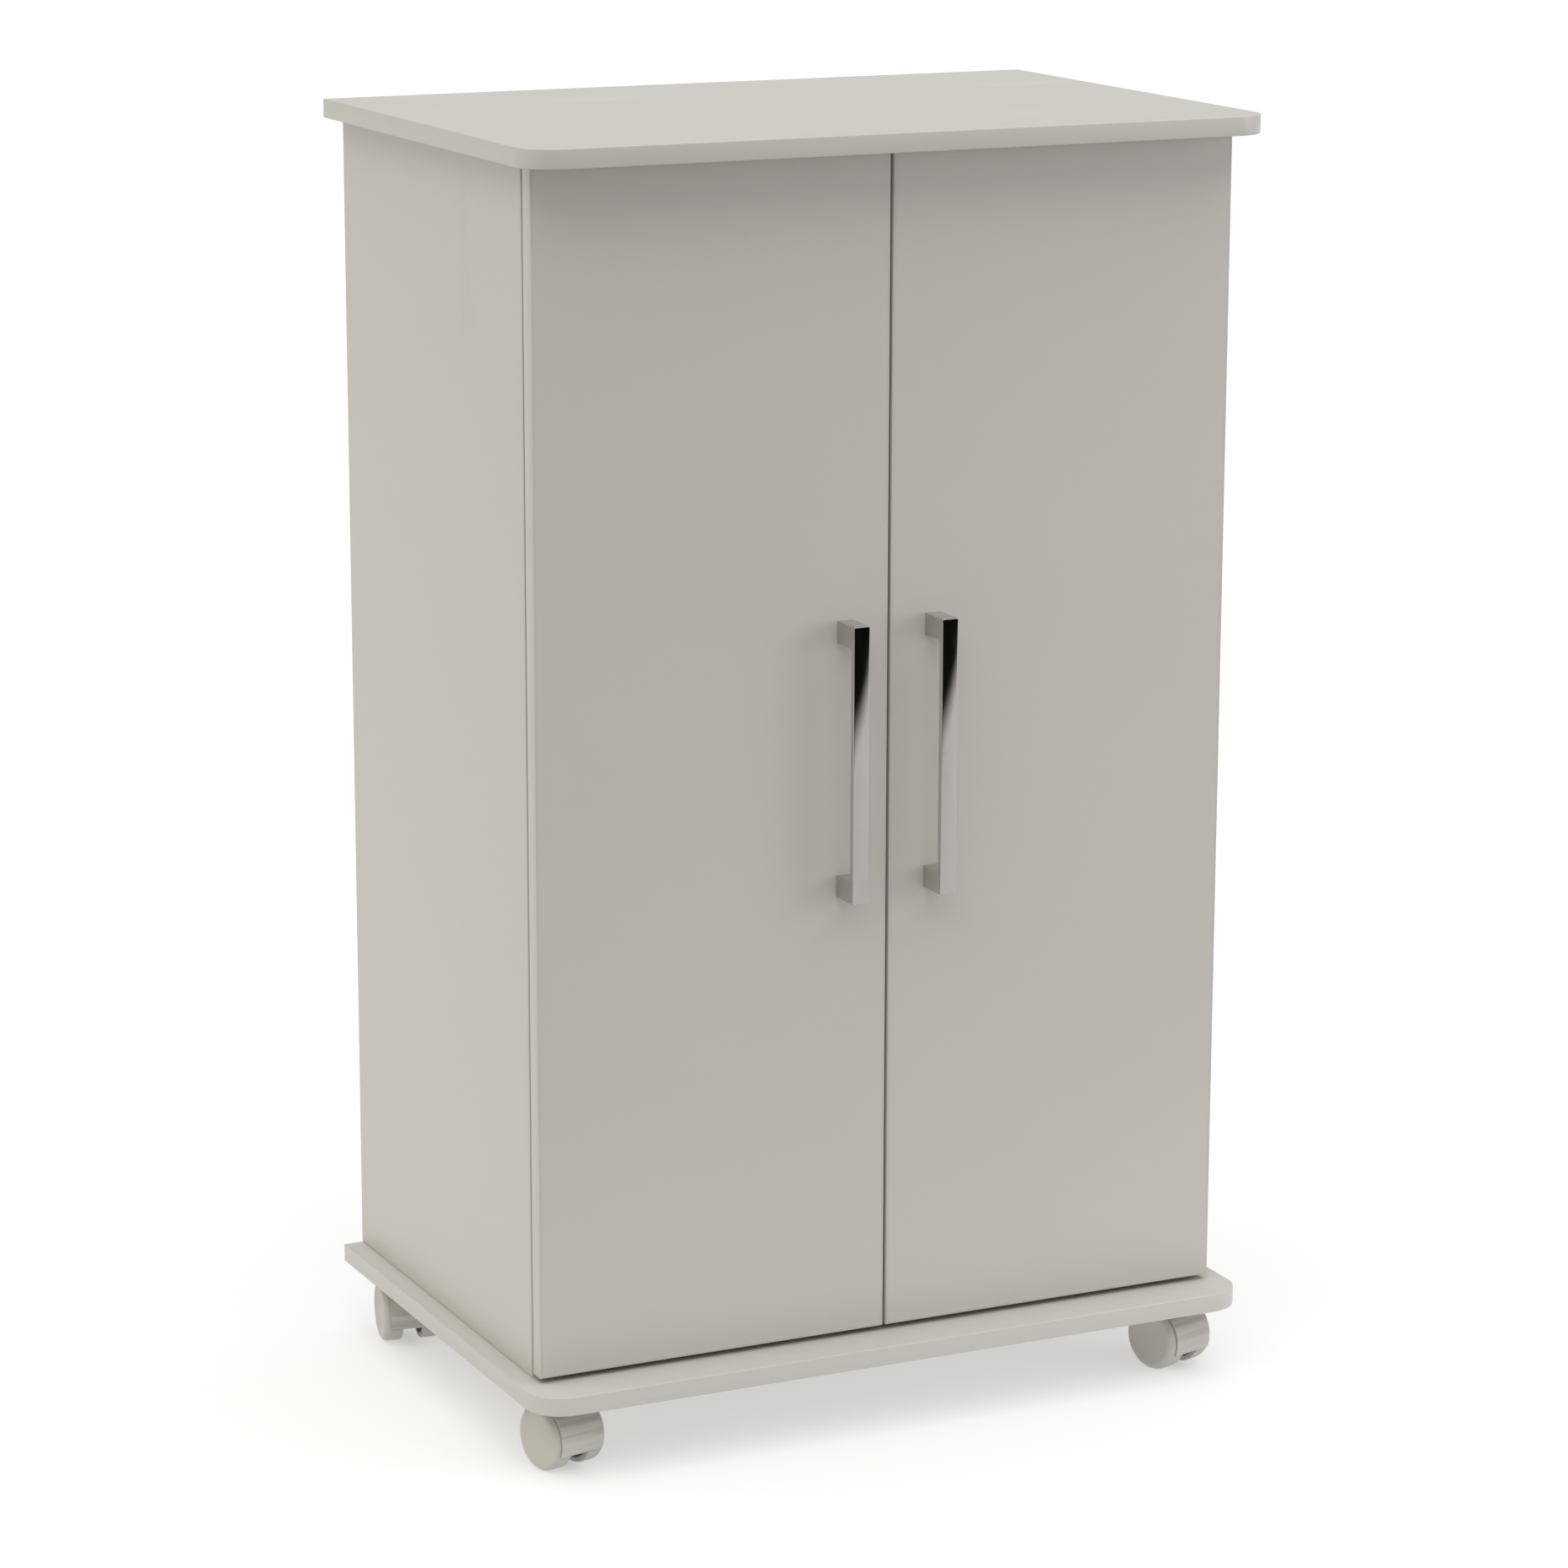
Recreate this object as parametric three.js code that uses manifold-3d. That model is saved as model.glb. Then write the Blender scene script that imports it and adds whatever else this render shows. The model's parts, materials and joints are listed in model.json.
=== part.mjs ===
// Mobile bedside cabinet: two overlay doors on concealed hinges, bar pulls, two shelves
// and four hooded twin-wheel casters. Millimetres, +Z up, front towards -Y, the origin on
// the floor below the middle of the top panel.
import * as THREE from 'three';
import { mergeVertices } from 'three/addons/utils/BufferGeometryUtils.js';
import Module from 'manifold-3d';

const wasm = await Module();
wasm.setup();

// ---- Driving dimensions -------------------------------------------------------------
const CARCASS_WIDTH = 594;
const CARCASS_DEPTH = 368.5;
const CARCASS_HEIGHT = 942;
const BOARD = 15;
const BACK_BOARD = 3;
const SIDE_OVERHANG = 16;
const FRONT_OVERHANG = 37;
const CORNER_RADIUS = 30;

const DOOR_BOARD = 15;
const DOOR_STANDOFF = 2.5;
const DOOR_BOTTOM_GAP = 4.5;
const DOOR_TOP_GAP = 3;
const DOOR_CENTRE_GAP = 2.5;

const FIXED_SHELF_RISE = 466;
const LOOSE_SHELF_RISE = 224;
const SHELF_SETBACK = 6;
const SHELF_SIDE_CLEARANCE = 1;
const PIN_HOLE_PITCH = 32;
const PIN_HOLES_EACH_WAY = 2;
const PIN_RADIUS = 2.5;
const PIN_COLLAR_RADIUS = 4;
const PIN_COLLAR = 1.5;
const PIN_DEPTH = 8;
const PIN_REACH = 9;
const PIN_INSET = 45;

const HANDLE_LENGTH = 219;
const HANDLE_WIDTH = 13.5;
const HANDLE_BAR = 5.5;
const HANDLE_POST = 17.5;
const HANDLE_PROJECTION = 30;
const HANDLE_INNER_RADIUS = 3;
const HANDLE_BEVEL = 0.6;
const HANDLE_FROM_CENTRE = 38;
const SCREW_RADIUS = 2;
const SCREW_HEAD_RADIUS = 4;
const SCREW_HEAD = 2.4;
const SCREW_BITE = 9;

const HINGE_INSET = 100;
const CUP_RADIUS = 17.5;
const CUP_WALL = 1.7;
const CUP_DEPTH = 11.7;
const CUP_FLOOR = 1.2;
const CUP_EDGE_DISTANCE = 5;
const FLANGE = 1;
const FLANGE_RADIUS = 19;
const FLANGE_EAR_REACH = 22;
const FLANGE_EAR_RADIUS = 9;
const ARM_PIVOT_IN = 31.15;
const ARM_PIVOT_SINK = 6.9;
const CUP_PIVOT_IN = 11.05;
const CUP_PIVOT_SINK = 2.55;
const HINGE_PIN_RADIUS = 1;
const LINK_HALF_HEIGHT = 5;
const LINK_HALF_WIDTH = 2;
const LINK_EYE_RADIUS = 2.3;
const CHEEK = 2.2;
const CHEEK_RADIUS = 3;
const ARM_WIDTH = 9;
const ARM_LENGTH = 54;
const ARM_SETBACK = 8;
const ARM_NECK_SHARE = 0.58;
const PLATE = 3;
const PLATE_SETBACK = 14;
const PLATE_LENGTH = 46;
const PLATE_HALF_HEIGHT = 22;

const BUMPER_RADIUS = 4;
const BUMPER_INSET = 30;
const BUMPER_FROM_INNER = 4.5;

const WHEEL_RADIUS = 26;
const WHEEL_TOP_CLEARANCE = 3.5;
const WHEEL_WIDTH = 16.2;
const WHEEL_SLOT = 16.1;
const WHEEL_EDGE_RADIUS = 5.2;
const AXLE_RADIUS = 3;
const AXLE_STOP = 3;
const TRAIL = 20;
const HOOD_WIDTH = 38.6;
const HOOD_WALL = 1.2;
const HOOD_CLEARANCE = 0.4;
const HOOD_LIP_HEIGHT = 15.5;
const WEB = 10;
const WEB_RADIUS = 10;
const SOCKET_RADIUS = 6.8;
const SOCKET_DROP = 5;
const SWIVEL_HEAD_RADIUS = 13;
const KINGPIN_RADIUS = 4;
const CASTER_PLATE = 2.5;
const CASTER_PLATE_SIZE = 42;
const STEM_FRONT_INSET = 70.5;
const STEM_BACK_INSET = 26.5;

// ---- Clearances ---------------------------------------------------------------------
const SEAT_GAP = 0.1;
const RUNNING_GAP = 0.3;
const HOLE_GAP = 0.25;

// ---- Derived places -----------------------------------------------------------------
const CASTER_HEIGHT = 2 * WHEEL_RADIUS + WHEEL_TOP_CLEARANCE + CASTER_PLATE;
const SOCKET_BOTTOM = WHEEL_RADIUS - SOCKET_DROP;
const HALF_WIDTH = CARCASS_WIDTH / 2;
const PANEL_HALF_WIDTH = HALF_WIDTH + SIDE_OVERHANG;
const PANEL_DEPTH = CARCASS_DEPTH + DOOR_STANDOFF + DOOR_BOARD + FRONT_OVERHANG;
const BACK_Y = PANEL_DEPTH / 2;
const PANEL_FRONT_Y = -BACK_Y;
const DOOR_FRONT_Y = PANEL_FRONT_Y + FRONT_OVERHANG;
const DOOR_BACK_Y = DOOR_FRONT_Y + DOOR_BOARD;
const SIDE_FRONT_Y = DOOR_BACK_Y + DOOR_STANDOFF;
const SIDE_INNER = HALF_WIDTH - BOARD;
const FLOOR_OF_CARCASS = CASTER_HEIGHT + BOARD;
const TOP_OF_CARCASS = FLOOR_OF_CARCASS + CARCASS_HEIGHT;
const DOOR_BOTTOM = FLOOR_OF_CARCASS + DOOR_BOTTOM_GAP;
const DOOR_TOP = TOP_OF_CARCASS - DOOR_TOP_GAP;
const DOOR_INNER = DOOR_CENTRE_GAP / 2;
const SHELF_FRONT_Y = SIDE_FRONT_Y + SHELF_SETBACK;
const BACK_BOARD_FRONT_Y = BACK_Y - BACK_BOARD;
const SHELF_BACK_Y = BACK_BOARD_FRONT_Y - RUNNING_GAP;
const FIXED_SHELF_Z = FLOOR_OF_CARCASS + FIXED_SHELF_RISE;
const LOOSE_SHELF_Z = FLOOR_OF_CARCASS + LOOSE_SHELF_RISE;
const PIN_Z = LOOSE_SHELF_Z - PIN_RADIUS - SEAT_GAP;
const PIN_ROWS_Y = [SHELF_FRONT_Y + PIN_INSET, SHELF_BACK_Y - PIN_INSET];
const HANDLE_Z = (DOOR_BOTTOM + DOOR_TOP) / 2;
const HANDLE_BACK_Y = DOOR_FRONT_Y - SEAT_GAP;
const SCREW_OFFSETS = [(HANDLE_LENGTH - HANDLE_POST) / 2, (HANDLE_POST - HANDLE_LENGTH) / 2];
const HINGE_HEIGHTS = { upper: DOOR_TOP - HINGE_INSET, lower: DOOR_BOTTOM + HINGE_INSET };
const CUP_CENTRE = HALF_WIDTH - CUP_EDGE_DISTANCE - CUP_RADIUS;
const ARM_PIVOT = { out: HALF_WIDTH - ARM_PIVOT_IN, y: DOOR_BACK_Y - ARM_PIVOT_SINK };
const CUP_PIVOT = { out: HALF_WIDTH - CUP_PIVOT_IN, y: DOOR_BACK_Y - CUP_PIVOT_SINK };
const ARM_ROOT = { out: SIDE_INNER - PLATE - ARM_WIDTH + CHEEK_RADIUS, y: SIDE_FRONT_Y + ARM_SETBACK };
const WHEEL_OUTER = WHEEL_SLOT / 2 + WHEEL_WIDTH;
const HOOD_INNER_RADIUS = WHEEL_RADIUS + HOOD_CLEARANCE;
const HOOD_OUTER_RADIUS = HOOD_INNER_RADIUS + HOOD_WALL;
const CASTER_PLATE_BOTTOM = CASTER_HEIGHT - CASTER_PLATE;
const SWIVEL_HEAD_TOP = CASTER_PLATE_BOTTOM - RUNNING_GAP;

const STEM_FRONT_Y = PANEL_FRONT_Y + STEM_FRONT_INSET;
const STEM_BACK_Y = BACK_Y - STEM_BACK_INSET;

// Each caster's kingpin, set in from its own side of the carcass, and how the caster happens
// to stand at rest, in degrees about the upright.
const CASTERS = [
  { name: 'front_left', x: 19 - HALF_WIDTH, y: STEM_FRONT_Y, turn: 13 },
  { name: 'front_right', x: HALF_WIDTH - 32.5, y: STEM_FRONT_Y, turn: 18 },
  { name: 'back_left', x: 25.5 - HALF_WIDTH, y: STEM_BACK_Y, turn: -10 },
  { name: 'back_right', x: HALF_WIDTH - 25.5, y: STEM_BACK_Y, turn: 5 },
];
const SIDES = [{ name: 'left', side: -1 }, { name: 'right', side: 1 }];

// ---- Materials ----------------------------------------------------------------------
const FINISHES = {
  melamine: { color: 0xcfccc4, roughness: 0.45, metalness: 0 },
  hardboard: { color: 0xd6d3cb, roughness: 0.6, metalness: 0 },
  chrome: { color: 0xd8d9dc, roughness: 0.08, metalness: 1 },
  zinc: { color: 0xb9bcc0, roughness: 0.35, metalness: 1 },
  casterPlastic: { color: 0xc9c6be, roughness: 0.5, metalness: 0 },
  clearRubber: { color: 0xe6e4de, roughness: 0.5, metalness: 0 },
};

const cabinet = new THREE.Group();

function part(name, finish, geometry, parent = cabinet) {
  const mesh = new THREE.Mesh(geometry, new THREE.MeshStandardMaterial(FINISHES[finish]));
  mesh.name = name;
  parent.add(mesh);
}

// ---- Solids: cutting and joining ----------------------------------------------------
function toSolid(geometry) {
  const bare = geometry.clone();
  bare.deleteAttribute('normal');
  bare.deleteAttribute('uv');
  const merged = mergeVertices(bare, 1e-4);
  const index = merged.index.array;
  const triangles = [];
  for (let i = 0; i < index.length; i += 3) {
    const [a, b, c] = [index[i], index[i + 1], index[i + 2]];
    if (a !== b && b !== c && c !== a) triangles.push(a, b, c);
  }
  return new wasm.Manifold(new wasm.Mesh({
    numProp: 3,
    vertProperties: new Float32Array(merged.attributes.position.array),
    triVerts: new Uint32Array(triangles),
  }));
}

function toGeometry(solid) {
  const mesh = solid.getMesh();
  const geometry = new THREE.BufferGeometry();
  geometry.setAttribute('position', new THREE.BufferAttribute(mesh.vertProperties, 3));
  geometry.setIndex(new THREE.BufferAttribute(mesh.triVerts, 1));
  geometry.computeVertexNormals();
  return geometry;
}

function join(...geometries) {
  return geometries.map(toSolid).reduce((whole, piece) => whole.add(piece));
}

function cut(solid, ...geometries) {
  return geometries.map(toSolid).reduce((whole, piece) => whole.subtract(piece), solid);
}

// ---- Basic shapes -------------------------------------------------------------------
function box(x0, x1, y0, y1, z0, z1) {
  const geometry = new THREE.BoxGeometry(Math.abs(x1 - x0), y1 - y0, z1 - z0);
  return geometry.translate((x0 + x1) / 2, (y0 + y1) / 2, (z0 + z1) / 2);
}

function extrudeUp(shape, z0, z1, curveSegments = 6) {
  const geometry = new THREE.ExtrudeGeometry(shape, { depth: z1 - z0, bevelEnabled: false, curveSegments });
  return geometry.translate(0, 0, z0);
}

function rodUp(x, y, radius, z0, z1, segments = 12) {
  const rod = new THREE.CylinderGeometry(radius, radius, z1 - z0, segments);
  return rod.rotateX(Math.PI / 2).translate(x, y, (z0 + z1) / 2);
}

function rodAlongX(x0, x1, y, z, radius, segments = 12) {
  const rod = new THREE.CylinderGeometry(radius, radius, Math.abs(x1 - x0), segments);
  return rod.rotateZ(Math.PI / 2).translate((x0 + x1) / 2, y, z);
}

function rodAlongY(x, y0, y1, z, radius, segments = 12) {
  return new THREE.CylinderGeometry(radius, radius, y1 - y0, segments).translate(x, (y0 + y1) / 2, z);
}

// A strip with round ends from one point to another.
function strip(from, to, radius) {
  const along = Math.atan2(to.y - from.y, to.x - from.x);
  const shape = new THREE.Shape();
  shape.absarc(to.x, to.y, radius, along - Math.PI / 2, along + Math.PI / 2, false);
  shape.absarc(from.x, from.y, radius, along + Math.PI / 2, along + 1.5 * Math.PI, false);
  shape.closePath();
  return shape;
}

// ---- Carcass ------------------------------------------------------------------------
// The top and base boards share one outline: square at the back, round at the front corners.
function boardOutline() {
  const straight = PANEL_HALF_WIDTH - CORNER_RADIUS;
  const arcY = PANEL_FRONT_Y + CORNER_RADIUS;
  const shape = new THREE.Shape();
  shape.moveTo(PANEL_HALF_WIDTH, BACK_Y);
  shape.lineTo(-PANEL_HALF_WIDTH, BACK_Y);
  shape.absarc(-straight, arcY, CORNER_RADIUS, Math.PI, 1.5 * Math.PI, false);
  shape.absarc(straight, arcY, CORNER_RADIUS, 1.5 * Math.PI, 2 * Math.PI, false);
  shape.closePath();
  return shape;
}

function sidePanel(side) {
  const board = box(side * SIDE_INNER, side * HALF_WIDTH, SIDE_FRONT_Y, BACK_Y,
    FLOOR_OF_CARCASS, TOP_OF_CARCASS);
  const holes = [];
  for (const y of PIN_ROWS_Y) {
    for (let step = -PIN_HOLES_EACH_WAY; step <= PIN_HOLES_EACH_WAY; step += 1) {
      const z = PIN_Z + step * PIN_HOLE_PITCH;
      const depth = side * (SIDE_INNER + PIN_DEPTH + HOLE_GAP);
      holes.push(rodAlongX(side * (SIDE_INNER - 1), depth, y, z, PIN_RADIUS + HOLE_GAP, 8));
    }
  }
  return toGeometry(cut(toSolid(board), ...holes));
}

function buildCarcass() {
  part('top_panel', 'melamine', extrudeUp(boardOutline(), TOP_OF_CARCASS, TOP_OF_CARCASS + BOARD, 10));
  part('base_panel', 'melamine', extrudeUp(boardOutline(), CASTER_HEIGHT, FLOOR_OF_CARCASS, 10));
  for (const { name, side } of SIDES) part(`side_panel_${name}`, 'melamine', sidePanel(side));
  const backHalf = SIDE_INNER - RUNNING_GAP;
  part('back_panel', 'hardboard', box(-backHalf, backHalf, BACK_BOARD_FRONT_Y, BACK_Y,
    FLOOR_OF_CARCASS + RUNNING_GAP, TOP_OF_CARCASS - RUNNING_GAP));
  part('fixed_shelf', 'melamine', box(-SIDE_INNER, SIDE_INNER, SHELF_FRONT_Y, SHELF_BACK_Y,
    FIXED_SHELF_Z, FIXED_SHELF_Z + BOARD));
  const shelfHalf = SIDE_INNER - PIN_COLLAR - SHELF_SIDE_CLEARANCE;
  part('adjustable_shelf', 'melamine', box(-shelfHalf, shelfHalf, SHELF_FRONT_Y, SHELF_BACK_Y,
    LOOSE_SHELF_Z, LOOSE_SHELF_Z + BOARD));
}

// A shelf pin: a peg in the side panel, a collar against its face and a peg under the shelf.
function shelfPin(side, y) {
  const peg = rodAlongX(side * (SIDE_INNER - PIN_REACH), side * (SIDE_INNER + PIN_DEPTH), y, PIN_Z,
    PIN_RADIUS, 8);
  const collarFace = side * (SIDE_INNER - SEAT_GAP);
  const collarBack = side * (SIDE_INNER - PIN_COLLAR);
  const collar = rodAlongX(collarBack, collarFace, y, PIN_Z, PIN_COLLAR_RADIUS);
  return toGeometry(join(peg, collar));
}

function buildShelfPins() {
  for (const { name, side } of SIDES) {
    part(`shelf_pin_${name}_front`, 'zinc', shelfPin(side, PIN_ROWS_Y[0]));
    part(`shelf_pin_${name}_back`, 'zinc', shelfPin(side, PIN_ROWS_Y[1]));
  }
}

// ---- Doors and handles --------------------------------------------------------------
function doorPanel(side) {
  const board = box(side * DOOR_INNER, side * HALF_WIDTH, DOOR_FRONT_Y, DOOR_BACK_Y, DOOR_BOTTOM, DOOR_TOP);
  const cups = Object.values(HINGE_HEIGHTS).map((z) => rodAlongY(side * CUP_CENTRE,
    DOOR_BACK_Y - CUP_DEPTH - RUNNING_GAP, DOOR_BACK_Y + 1, z, CUP_RADIUS + RUNNING_GAP, 24));
  const screws = SCREW_OFFSETS.map((offset) => rodAlongY(side * HANDLE_FROM_CENTRE,
    DOOR_FRONT_Y - 1, DOOR_BACK_Y + 1, HANDLE_Z + offset, SCREW_RADIUS + HOLE_GAP, 12));
  return toGeometry(cut(toSolid(board), ...cups, ...screws));
}

// A flat bar with a square post at each end, all of one width and lightly bevelled.
function handle(side) {
  const halfLength = HANDLE_LENGTH / 2;
  const innerHalf = halfLength - HANDLE_POST;
  const barBack = HANDLE_PROJECTION - HANDLE_BAR;
  const radius = HANDLE_INNER_RADIUS;
  const profile = new THREE.Shape();
  profile.moveTo(SEAT_GAP, halfLength);
  profile.lineTo(HANDLE_PROJECTION, halfLength);
  profile.lineTo(HANDLE_PROJECTION, -halfLength);
  profile.lineTo(SEAT_GAP, -halfLength);
  profile.lineTo(SEAT_GAP, -innerHalf);
  profile.absarc(barBack - radius, radius - innerHalf, radius, -Math.PI / 2, 0, false);
  profile.absarc(barBack - radius, innerHalf - radius, radius, 0, Math.PI / 2, false);
  profile.lineTo(SEAT_GAP, innerHalf);
  profile.closePath();
  const bar = new THREE.ExtrudeGeometry(profile, {
    depth: HANDLE_WIDTH - 2 * HANDLE_BEVEL,
    bevelEnabled: true,
    bevelThickness: HANDLE_BEVEL,
    bevelSize: HANDLE_BEVEL,
    bevelOffset: -HANDLE_BEVEL,
    bevelSegments: 1,
    curveSegments: 4,
  });
  bar.translate(0, 0, HANDLE_BEVEL - HANDLE_WIDTH / 2);
  // Profile x runs forward from the door, profile y upwards, the extrusion across the door.
  const axes = new THREE.Matrix4().makeBasis(
    new THREE.Vector3(0, -1, 0), new THREE.Vector3(0, 0, 1), new THREE.Vector3(-1, 0, 0));
  bar.applyMatrix4(axes).translate(side * HANDLE_FROM_CENTRE, DOOR_FRONT_Y, HANDLE_Z);
  const bores = SCREW_OFFSETS.map((offset) => rodAlongY(side * HANDLE_FROM_CENTRE,
    DOOR_FRONT_Y - SCREW_BITE - 1, DOOR_FRONT_Y + 1, HANDLE_Z + offset, SCREW_RADIUS + HOLE_GAP, 12));
  return toGeometry(cut(toSolid(bar), ...bores));
}

function handleScrew(side, offset) {
  const x = side * HANDLE_FROM_CENTRE;
  const z = HANDLE_Z + offset;
  const headFace = DOOR_BACK_Y + SEAT_GAP;
  const shank = rodAlongY(x, DOOR_FRONT_Y - SCREW_BITE, headFace + 1, z, SCREW_RADIUS);
  const head = rodAlongY(x, headFace, headFace + SCREW_HEAD, z, SCREW_HEAD_RADIUS);
  return toGeometry(join(shank, head));
}

function buildDoors() {
  for (const { name, side } of SIDES) {
    part(`${name}_door`, 'melamine', doorPanel(side));
    part(`${name}_handle`, 'chrome', handle(side));
    part(`${name}_handle_screw_upper`, 'zinc', handleScrew(side, SCREW_OFFSETS[0]));
    part(`${name}_handle_screw_lower`, 'zinc', handleScrew(side, SCREW_OFFSETS[1]));
  }
}

// ---- Concealed hinges ---------------------------------------------------------------
// Plan points are given by their distance out from the middle of the cabinet, so that one
// description serves the left and the right side.
function onSide(side, point) {
  return new THREE.Vector2(side * point.out, point.y);
}

function hingePlate(side, z) {
  const y0 = SIDE_FRONT_Y + PLATE_SETBACK;
  return box(side * (SIDE_INNER - PLATE), side * SIDE_INNER, y0, y0 + PLATE_LENGTH,
    z - PLATE_HALF_HEIGHT, z + PLATE_HALF_HEIGHT);
}

// The arm is a channel on the plate whose forked nose holds the first pivot pin.
function hingeArm(side, z) {
  const root = onSide(side, ARM_ROOT);
  const nose = onSide(side, ARM_PIVOT);
  const neckEnd = nose.clone().lerp(root, ARM_NECK_SHARE);
  const cheekOuter = LINK_HALF_HEIGHT + RUNNING_GAP + CHEEK;
  const cheekInner = LINK_HALF_HEIGHT + RUNNING_GAP;
  const plateFace = SIDE_INNER - PLATE - SEAT_GAP;
  const channel = box(side * (SIDE_INNER - PLATE - ARM_WIDTH), side * plateFace,
    ARM_ROOT.y, ARM_ROOT.y + ARM_LENGTH, z - cheekOuter, z + cheekOuter);
  return toGeometry(join(
    channel,
    extrudeUp(strip(root, neckEnd, CHEEK_RADIUS), z - cheekOuter, z + cheekOuter),
    extrudeUp(strip(root, nose, CHEEK_RADIUS), z + cheekInner, z + cheekOuter),
    extrudeUp(strip(root, nose, CHEEK_RADIUS), z - cheekOuter, z - cheekInner),
    rodUp(nose.x, nose.y, HINGE_PIN_RADIUS, z - cheekOuter, z + cheekOuter, 12),
  ));
}

function hingeLink(side, z) {
  const nose = onSide(side, ARM_PIVOT);
  const cup = onSide(side, CUP_PIVOT);
  const z0 = z - LINK_HALF_HEIGHT;
  const z1 = z + LINK_HALF_HEIGHT;
  const bar = join(
    extrudeUp(strip(nose, cup, LINK_HALF_WIDTH), z0, z1),
    rodUp(nose.x, nose.y, LINK_EYE_RADIUS, z0, z1),
    rodUp(cup.x, cup.y, LINK_EYE_RADIUS, z0, z1),
  );
  const eyes = [nose, cup].map(({ x, y }) => rodUp(x, y, HINGE_PIN_RADIUS + HOLE_GAP, z0 - 1, z1 + 1, 12));
  return toGeometry(cut(bar, ...eyes));
}

// The flange of a hinge cup: a strip with round ends that lies flat on the door's inner face.
function flangePlate(x, z, y0) {
  const shape = strip(new THREE.Vector2(x, z - FLANGE_EAR_REACH), new THREE.Vector2(x, z + FLANGE_EAR_REACH),
    FLANGE_EAR_RADIUS);
  return extrudeUp(shape, 0, FLANGE).rotateX(Math.PI / 2).translate(0, y0 + FLANGE, 0);
}

// The cup sits in the door, with the second pivot pin across it and a notch in its rim where
// the link comes out as the door opens.
function hingeCup(side, z) {
  const x = side * CUP_CENTRE;
  const flangeBack = DOOR_BACK_Y + SEAT_GAP;
  const rim = flangeBack + FLANGE;
  const bottom = DOOR_BACK_Y - CUP_DEPTH;
  const hollowRadius = CUP_RADIUS - CUP_WALL;
  const shell = join(
    rodAlongY(x, bottom, rim, z, CUP_RADIUS, 24),
    rodAlongY(x, flangeBack, rim, z, FLANGE_RADIUS, 24),
    flangePlate(x, z, flangeBack),
  );
  const hollow = rodAlongY(x, bottom + CUP_FLOOR, rim + 1, z, hollowRadius, 24);
  const notchDepth = CUP_PIVOT.y - HINGE_PIN_RADIUS;
  const notchReach = LINK_HALF_HEIGHT + 2 * RUNNING_GAP;
  const notch = box(x, side * (CUP_CENTRE + FLANGE_RADIUS + 1), notchDepth, rim + 1,
    z - notchReach, z + notchReach);
  const pinOut = CUP_PIVOT.out - CUP_CENTRE;
  const pinReach = Math.sqrt(CUP_RADIUS ** 2 - pinOut ** 2) - HINGE_PIN_RADIUS;
  const pin = rodUp(side * CUP_PIVOT.out, CUP_PIVOT.y, HINGE_PIN_RADIUS, z - pinReach, z + pinReach, 12);
  return toGeometry(cut(shell, hollow, notch).add(toSolid(pin)));
}

function buildHinges() {
  for (const { name, side } of SIDES) {
    for (const [level, z] of Object.entries(HINGE_HEIGHTS)) {
      part(`${name}_hinge_plate_${level}`, 'zinc', hingePlate(side, z));
      part(`${name}_hinge_arm_${level}`, 'zinc', hingeArm(side, z));
      part(`${name}_hinge_link_${level}`, 'zinc', hingeLink(side, z));
      part(`${name}_hinge_cup_${level}`, 'zinc', hingeCup(side, z));
    }
  }
}

// ---- Bumpers ------------------------------------------------------------------------
function buildBumpers() {
  const heights = { upper: DOOR_TOP - BUMPER_INSET, lower: DOOR_BOTTOM + BUMPER_INSET };
  for (const { name, side } of SIDES) {
    for (const [level, z] of Object.entries(heights)) {
      part(`${name}_bumper_${level}`, 'clearRubber', rodAlongY(side * (SIDE_INNER + BUMPER_FROM_INNER),
        DOOR_BACK_Y + SEAT_GAP, SIDE_FRONT_Y - SEAT_GAP, z, BUMPER_RADIUS));
    }
  }
}

// ---- Casters ------------------------------------------------------------------------
// The mounting plate and its kingpin are one piece, fixed under the base board.
function casterPlate(x, y) {
  const half = CASTER_PLATE_SIZE / 2;
  const plate = box(x - half, x + half, y - half, y + half, CASTER_PLATE_BOTTOM, CASTER_HEIGHT - SEAT_GAP);
  const pinBottom = SOCKET_BOTTOM + KINGPIN_RADIUS + RUNNING_GAP;
  return toGeometry(join(plate, rodUp(x, y, KINGPIN_RADIUS, pinBottom, CASTER_PLATE_BOTTOM + 1)));
}

// A shape drawn in the wheel's plane, with its x forward from the kingpin and its y up,
// given a thickness along the axle and centred between the wheels.
function acrossWheels(shape, width, curveSegments) {
  const slab = new THREE.ExtrudeGeometry(shape, { depth: width, bevelEnabled: false, curveSegments });
  const axes = new THREE.Matrix4().makeBasis(
    new THREE.Vector3(0, -1, 0), new THREE.Vector3(0, 0, 1), new THREE.Vector3(-1, 0, 0));
  return slab.translate(0, 0, -width / 2).applyMatrix4(axes);
}

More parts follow.
